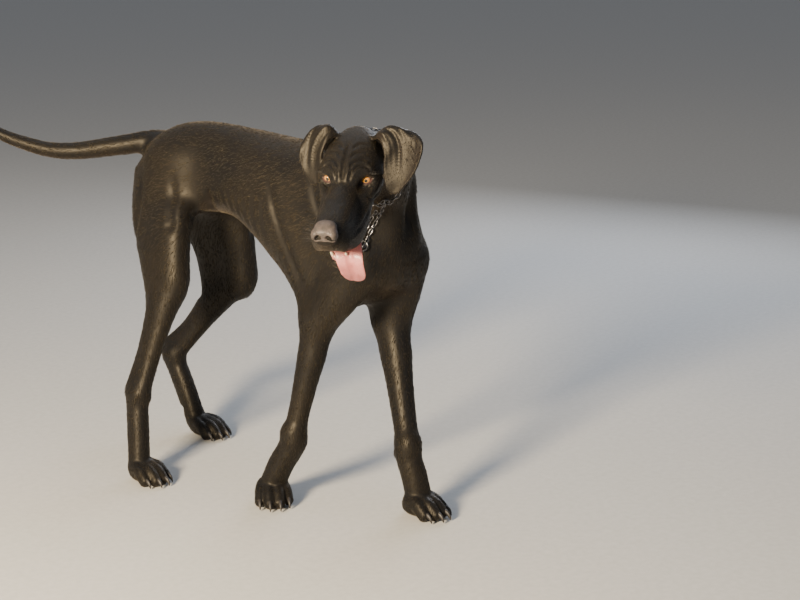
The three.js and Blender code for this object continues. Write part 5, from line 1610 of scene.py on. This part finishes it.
def coat_finish(name, tufts=False):
    """Deep black short coat: streaks follow the lie of the hair, bare skin where marked."""
    m = Finish(name, IOR=1.45, Specular_IOR_Level=0.22, Specular_Tint=(1.0, 0.9, 0.74, 1), Sheen_Weight=0.08,
               Sheen_Roughness=0.34, Sheen_Tint=(1.0, 0.78, 0.46, 1))
    bare, fine, warm = m.mark("marks.r"), m.mark("marks.g"), m.mark("marks.b")
    pink = Shade(m.tree, m.add("ShaderNodeAttribute", {"attribute_name": "marks"}).outputs["Alpha"])
    cloud = m.ramp(m.noise(7.0, 4.0), 0.3, 0.72)
    base = m.blend(cloud, (0.0036, 0.004, 0.0054), (0.008, 0.007, 0.0064))
    streaks = m.ramp(m.noise(420.0, 2.0, m.stretch((0, 1, -0.3), 0.9)), 0.35, 0.8)
    base = m.blend(streaks * 0.35, base, (0.015, 0.0125, 0.0095))
    base = m.blend(warm * 0.45, base, (0.028, 0.019, 0.014))
    if tufts:
        base = m.blend(m.mark("tone") * 0.35, base, (0.014, 0.0118, 0.0092))
    hide = m.blend(m.ramp(m.noise(160.0, 3.0), 0.4, 0.7), (0.011, 0.009, 0.0095), (0.022, 0.016, 0.015))
    base = m.blend(bare * 0.85, base, hide)
    wet = m.blend(m.ramp(m.noise(90.0, 3.0), 0.35, 0.7), (0.36, 0.15, 0.14), (0.2, 0.085, 0.085))
    m.set(Base_Color=m.blend(pink, base, wet))
    rough = m.noise(26.0, 4.0) * 0.14 + m.noise(300.0, 2.0, m.stretch((0, 1, -0.3), 0.88)) * 0.08 + 0.36
    m.set(Roughness=rough - bare * 0.04 - pink * 0.14)
    along = m.noise(1500.0, 2.0, m.stretch((0, 1, -0.35), 0.92))
    down = m.noise(1700.0, 2.0, m.stretch((0.05, 0.1, 1), 0.93))
    face = m.noise(2300.0, 2.0, m.stretch(tuple(FACE), 0.9))
    legs = m.ramp(Shade(m.tree, m.add("ShaderNodeSeparateXYZ", None, m.place).outputs[2]) * -1.0, -0.62, -0.5)
    hairs = along * (1.0 - legs) + down * legs
    hairs = hairs * (1.0 - fine) + face * fine
    skin = m.cells(520.0) * 0.8 + m.noise(700.0, 3.0) * 0.4
    height = hairs * (1.0 - bare * 0.9) + skin * bare
    under = m.bump(m.noise(30.0, 3.0), 0.06, 0.004)
    m.set(Normal=m.bump(height, 0.2, 0.0005, under))
    return m.material


def nose_finish():
    """Grainy leather with fine cracks."""
    m = Finish("nose_leather", IOR=1.45, Coat_Weight=0.08, Coat_Roughness=0.3)
    pebbles = m.cells(560.0)
    crack = m.ramp(m.cells(560.0, feature="DISTANCE_TO_EDGE"), 0.0, 0.12)
    base = m.blend(m.ramp(m.noise(70.0, 4.0), 0.3, 0.7), (0.05, 0.04, 0.037), (0.11, 0.083, 0.074))
    m.set(Base_Color=m.blend(crack, (0.016, 0.013, 0.012), base))
    m.set(Roughness=m.noise(120.0, 3.0) * 0.25 + 0.42)
    m.set(Normal=m.bump(crack * 0.7 + pebbles * -0.5 + m.noise(1500.0, 2.0) * 0.15, 0.6, 0.0009))
    return m.material


def tongue_finish(name, pale, deep, grain):
    """Wet pink flesh, grained by small bumps."""
    m = Finish(name, IOR=1.4, Subsurface_Weight=0.1, Subsurface_Scale=0.003, Coat_Weight=0.2,
               Coat_Roughness=0.2,
               Subsurface_Radius=(1.0, 0.35, 0.25))
    spots = m.cells(grain)
    blotch = m.ramp(m.noise(32.0, 4.0), 0.35, 0.7)
    base = m.blend(blotch, pale, deep)
    m.set(Base_Color=m.blend(m.ramp(spots, 0.25, 0.6) * 0.45, base, tuple(c * 0.62 for c in deep)))
    m.set(Roughness=m.noise(140.0, 3.0) * 0.3 + 0.26)
    m.set(Normal=m.bump(spots * -1.0 + m.noise(500.0, 3.0) * 0.5, 0.5, 0.0007))
    return m.material


def tooth_finish():
    """Ivory with old stains."""
    m = Finish("tooth_ivory", IOR=1.6, Subsurface_Weight=0.1, Subsurface_Scale=0.002, Coat_Weight=0.5,
               Coat_Roughness=0.08)
    stain = m.ramp(m.noise(130.0, 4.0), 0.42, 0.75)
    m.set(Base_Color=m.blend(stain, (0.72, 0.66, 0.53), (0.5, 0.38, 0.22)))
    m.set(Roughness=m.noise(200.0, 3.0) * 0.2 + 0.16)
    m.set(Normal=m.bump(m.noise(600.0, 2.0, m.stretch((0, 0, 1), 0.85)), 0.18, 0.0004))
    return m.material


def claw_finish():
    """Black horn with lengthwise lines."""
    m = Finish("claw_horn", IOR=1.5, Coat_Weight=0.05, Coat_Roughness=0.4)
    lines = m.noise(900.0, 3.0, m.stretch((0, 1, -0.4), 0.93))
    m.set(Base_Color=m.blend(m.ramp(lines, 0.35, 0.75), (0.009, 0.008, 0.008), (0.026, 0.02, 0.017)))
    m.set(Roughness=m.noise(260.0, 3.0) * 0.3 + 0.4)
    m.set(Normal=m.bump(lines + m.noise(3000.0, 2.0) * 0.2, 0.35, 0.0004))
    return m.material


def steel_finish():
    """Tarnished steel."""
    m = Finish("chain_steel", Metallic=1.0, IOR=2.5)
    tarnish = m.ramp(m.noise(130.0, 5.0), 0.42, 0.68)
    m.set(Base_Color=m.blend(tarnish, (0.17, 0.17, 0.185), (0.045, 0.043, 0.042)))
    m.set(Roughness=m.noise(420.0, 4.0) * 0.3 + tarnish * 0.15 + 0.12)
    m.set(Normal=m.bump(m.noise(2600.0, 3.0), 0.2, 0.0003))
    return m.material


def eye_finish():
    """Amber iris with radial fibres, dark pupil and rim, shadowed white, by the ball's own attributes."""
    m = Finish("amber_eye", IOR=1.38, Roughness=0.12, Coat_Weight=1.0, Coat_Roughness=0.02, Coat_IOR=1.4)
    ring, spin = m.mark("ring"), m.mark("spin")
    fibre = m.add("ShaderNodeCombineXYZ", None, ring * 3.0, spin * 16.0, 0.0).outputs[0]
    fibres = m.noise(2.2, 4.0, fibre)
    iris = m.blend(m.ramp(fibres, 0.3, 0.75), (0.26, 0.1, 0.014), (0.5, 0.24, 0.045))
    iris = m.blend(m.ramp(ring, 0.26, 0.42), (0.52, 0.27, 0.06), iris)
    iris = m.blend(m.ramp(ring, 0.6, 0.74), iris, (0.04, 0.018, 0.008))
    white = m.blend(m.ramp(m.noise(260.0, 4.0), 0.5, 0.72), (0.09, 0.062, 0.05), (0.05, 0.022, 0.018))
    white = m.blend(m.ramp(ring, 0.85, 1.2), white, (0.02, 0.01, 0.009))
    colour = m.blend(m.ramp(ring, 0.72, 0.78), iris, white)
    m.set(Base_Color=m.blend(m.ramp(ring, 0.25, 0.285), (0.002, 0.002, 0.002), colour))
    m.set(Normal=m.bump(m.noise(900.0, 2.0), 0.03, 0.0002))
    return m.material


def plain_finish(name, colour, roughness):
    """One colour with a little life in it."""
    m = Finish(name)
    m.set(Base_Color=m.blend(m.noise(60.0, 3.0), colour, tuple(c * 0.8 for c in colour)))
    m.set(Roughness=m.noise(30.0, 3.0) * 0.15 + roughness)
    m.set(Normal=m.bump(m.noise(900.0, 3.0), 0.1, 0.0004))
    return m.material


# The photograph's camera: place in the dog's frame, tilt down from level, turn and lens
CAMERA_AT = (-2685.25, -3059.34, 1450.0)
CAMERA_TILT = math.radians(14.036)
CAMERA_TURN = math.radians(-46)
CAMERA_LENS = 81.0
SENSOR = 36.0
# Lamps: place and aim in metres, size, power, colour
LAMPS = {
    "key": ((-3.5, -1.1, 1.7), (0, -0.2, 0.5), 0.8, 660, (1.0, 0.82, 0.56)),
    "fill": ((0.2, -4.4, 2.2), (0, -0.2, 0.5), 3.0, 16, (0.66, 0.79, 1.0)),
    "top": ((0.6, 0.8, 3.4), (0, 0, 0.6), 2.6, 30, (0.72, 0.84, 1.0)),
    "rim": ((3.0, 0.9, 1.8), (0, 0, 0.6), 1.8, 60, (0.85, 0.9, 1.0))}
SKY = (0.74, 0.79, 0.88, 1)
SKY_POWER = 0.34
FLOOR = (0.5, 0.49, 0.47)


def camera_and_lights():
    """The view of the photograph, a pale floor and soft lamps."""
    scene = bpy.context.scene
    cam = bpy.data.cameras.new("view")
    cam.lens = CAMERA_LENS
    cam.sensor_width = SENSOR
    cam.clip_end = 60
    ob = bpy.data.objects.new("view", cam)
    ob.location = place(CAMERA_AT)
    ob.rotation_euler = (math.radians(90) - CAMERA_TILT, 0, CAMERA_TURN)
    scene.collection.objects.link(ob)
    scene.camera = ob
    for name, (at, aim, size, power, colour) in LAMPS.items():
        light = bpy.data.lights.new(name, "AREA")
        light.size = size
        light.energy = power
        light.color = colour
        lamp = bpy.data.objects.new(name, light)
        lamp.location = at
        lamp.rotation_euler = (Vector(aim) - Vector(at)).to_track_quat("-Z", "Y").to_euler()
        scene.collection.objects.link(lamp)
    world = bpy.data.worlds.new("studio")
    world.use_nodes = True
    sky = world.node_tree.nodes["Background"]
    sky.inputs[0].default_value = SKY
    sky.inputs[1].default_value = SKY_POWER
    scene.world = world
    bm = bmesh.new()
    bmesh.ops.create_grid(bm, x_segments=2, y_segments=2, size=30)
    me = bpy.data.meshes.new("floor")
    bm.to_mesh(me)
    floor = bpy.data.objects.new("floor", me)
    floor.location = (0, 0, -0.0005)
    scene.collection.objects.link(floor)
    me.materials.append(plain_finish("floor_pale", FLOOR, 0.75))


def eyes():
    """Eyeballs with a bulging cornea; ring is the angle from the gaze, spin the fibres round it."""
    for s, name in ((1, "left"), (-1, "right")):
        lid = Lids(s)
        gaze = unit(FACE * 0.9 + LEFT * (s * 0.16 + 0.04) + CROWN * 0.22)
        out = unit(LEFT - (LEFT @ gaze) * gaze)
        up = np.cross(gaze, out)
        V, ring, spin = [], [], []
        rows, around = 60, 72
        for i in range(rows + 1):
            t = math.pi * (i + 0.02) / (rows + 0.04)
            bulge = 1 + 0.045 * math.exp(-(t / 0.5) ** 4)
            for j in range(around):
                g = 2 * math.pi * j / around
                d = gaze * math.cos(t) + (out * math.cos(g) + up * math.sin(g)) * math.sin(t)
                V.append(lid.c + d * (EYE_RADIUS - 0.1) * bulge)
                ring.append(t)
                spin.append(math.sin(g * 3) + 0.4 * math.cos(g * 7))
        F = [(i * around + j, i * around + (j + 1) % around, (i + 1) * around + (j + 1) % around,
              (i + 1) * around + j) for i in range(rows) for j in range(around)]
        F += [tuple(range(around))[::-1], tuple(rows * around + j for j in range(around))]
        me = mesh_from("eye_" + name, V, F)
        for key, values in (("ring", ring), ("spin", spin)):
            layer = me.attributes.new(key, "FLOAT", "POINT")
            layer.data.foreach_set("value", np.array(values, np.float32))
        add_object("eyeball_" + name, outward(me), EYE, ["eye_" + name])


# The solids that the one skin takes the place of
FLESH = ["torso", "neck", "head", "ear_left", "ear_right", "jaw_lower", "tail"]
FLESH += ["%s_%s_%s" % (part, end, side) for part in ("leg", "shank", "paw")
          for end in ("fore", "hind") for side in ("left", "right")]

SKIN = coat_finish("black_skin")
COAT = coat_finish("black_coat", True)
EYE = eye_finish()
NOSE = nose_finish()
TONGUE = tongue_finish("tongue_pink", (0.56, 0.22, 0.21), (0.4, 0.125, 0.125), 900.0)
GUM = tongue_finish("gum_pink", (0.5, 0.2, 0.19), (0.12, 0.06, 0.06), 500.0)
TOOTH = tooth_finish()
CLAW = claw_finish()
CHAIN = steel_finish()
WHISKER = plain_finish("whisker_black", (0.02, 0.018, 0.016), 0.35)

camera_and_lights()

skin = build_skin()
soften(skin)
relief(skin)
bmesh.ops.triangulate(skin, faces=skin.faces)
bmesh.ops.recalc_face_normals(skin, faces=skin.faces)
skin.normal_update()
skin.verts.ensure_lookup_table()
skin.verts.index_update()
V = np.array([v.co for v in skin.verts])
N = np.array([v.normal for v in skin.verts])
T = np.array([[v.index for v in f.verts] for f in skin.faces])
TREE = BVHTree.FromBMesh(skin)
E = ear_of(V)
M = markings(V, N, E)
for v in skin.verts:
    v.co = Vector(place(v.co))
me = bpy.data.meshes.new("skin")
skin.to_mesh(me)
skin.free()
layer = me.color_attributes.new("marks", "FLOAT_COLOR", "POINT")
layer.data.foreach_set("color", M.astype(np.float32).ravel())
add_object("dog_skin", me, SKIN, FLESH)

eyes()
nose()
tongue()
teeth()
claws()
chain()
whiskers(TREE)
coat(V, T, N, hair(V, N, E), M, E)
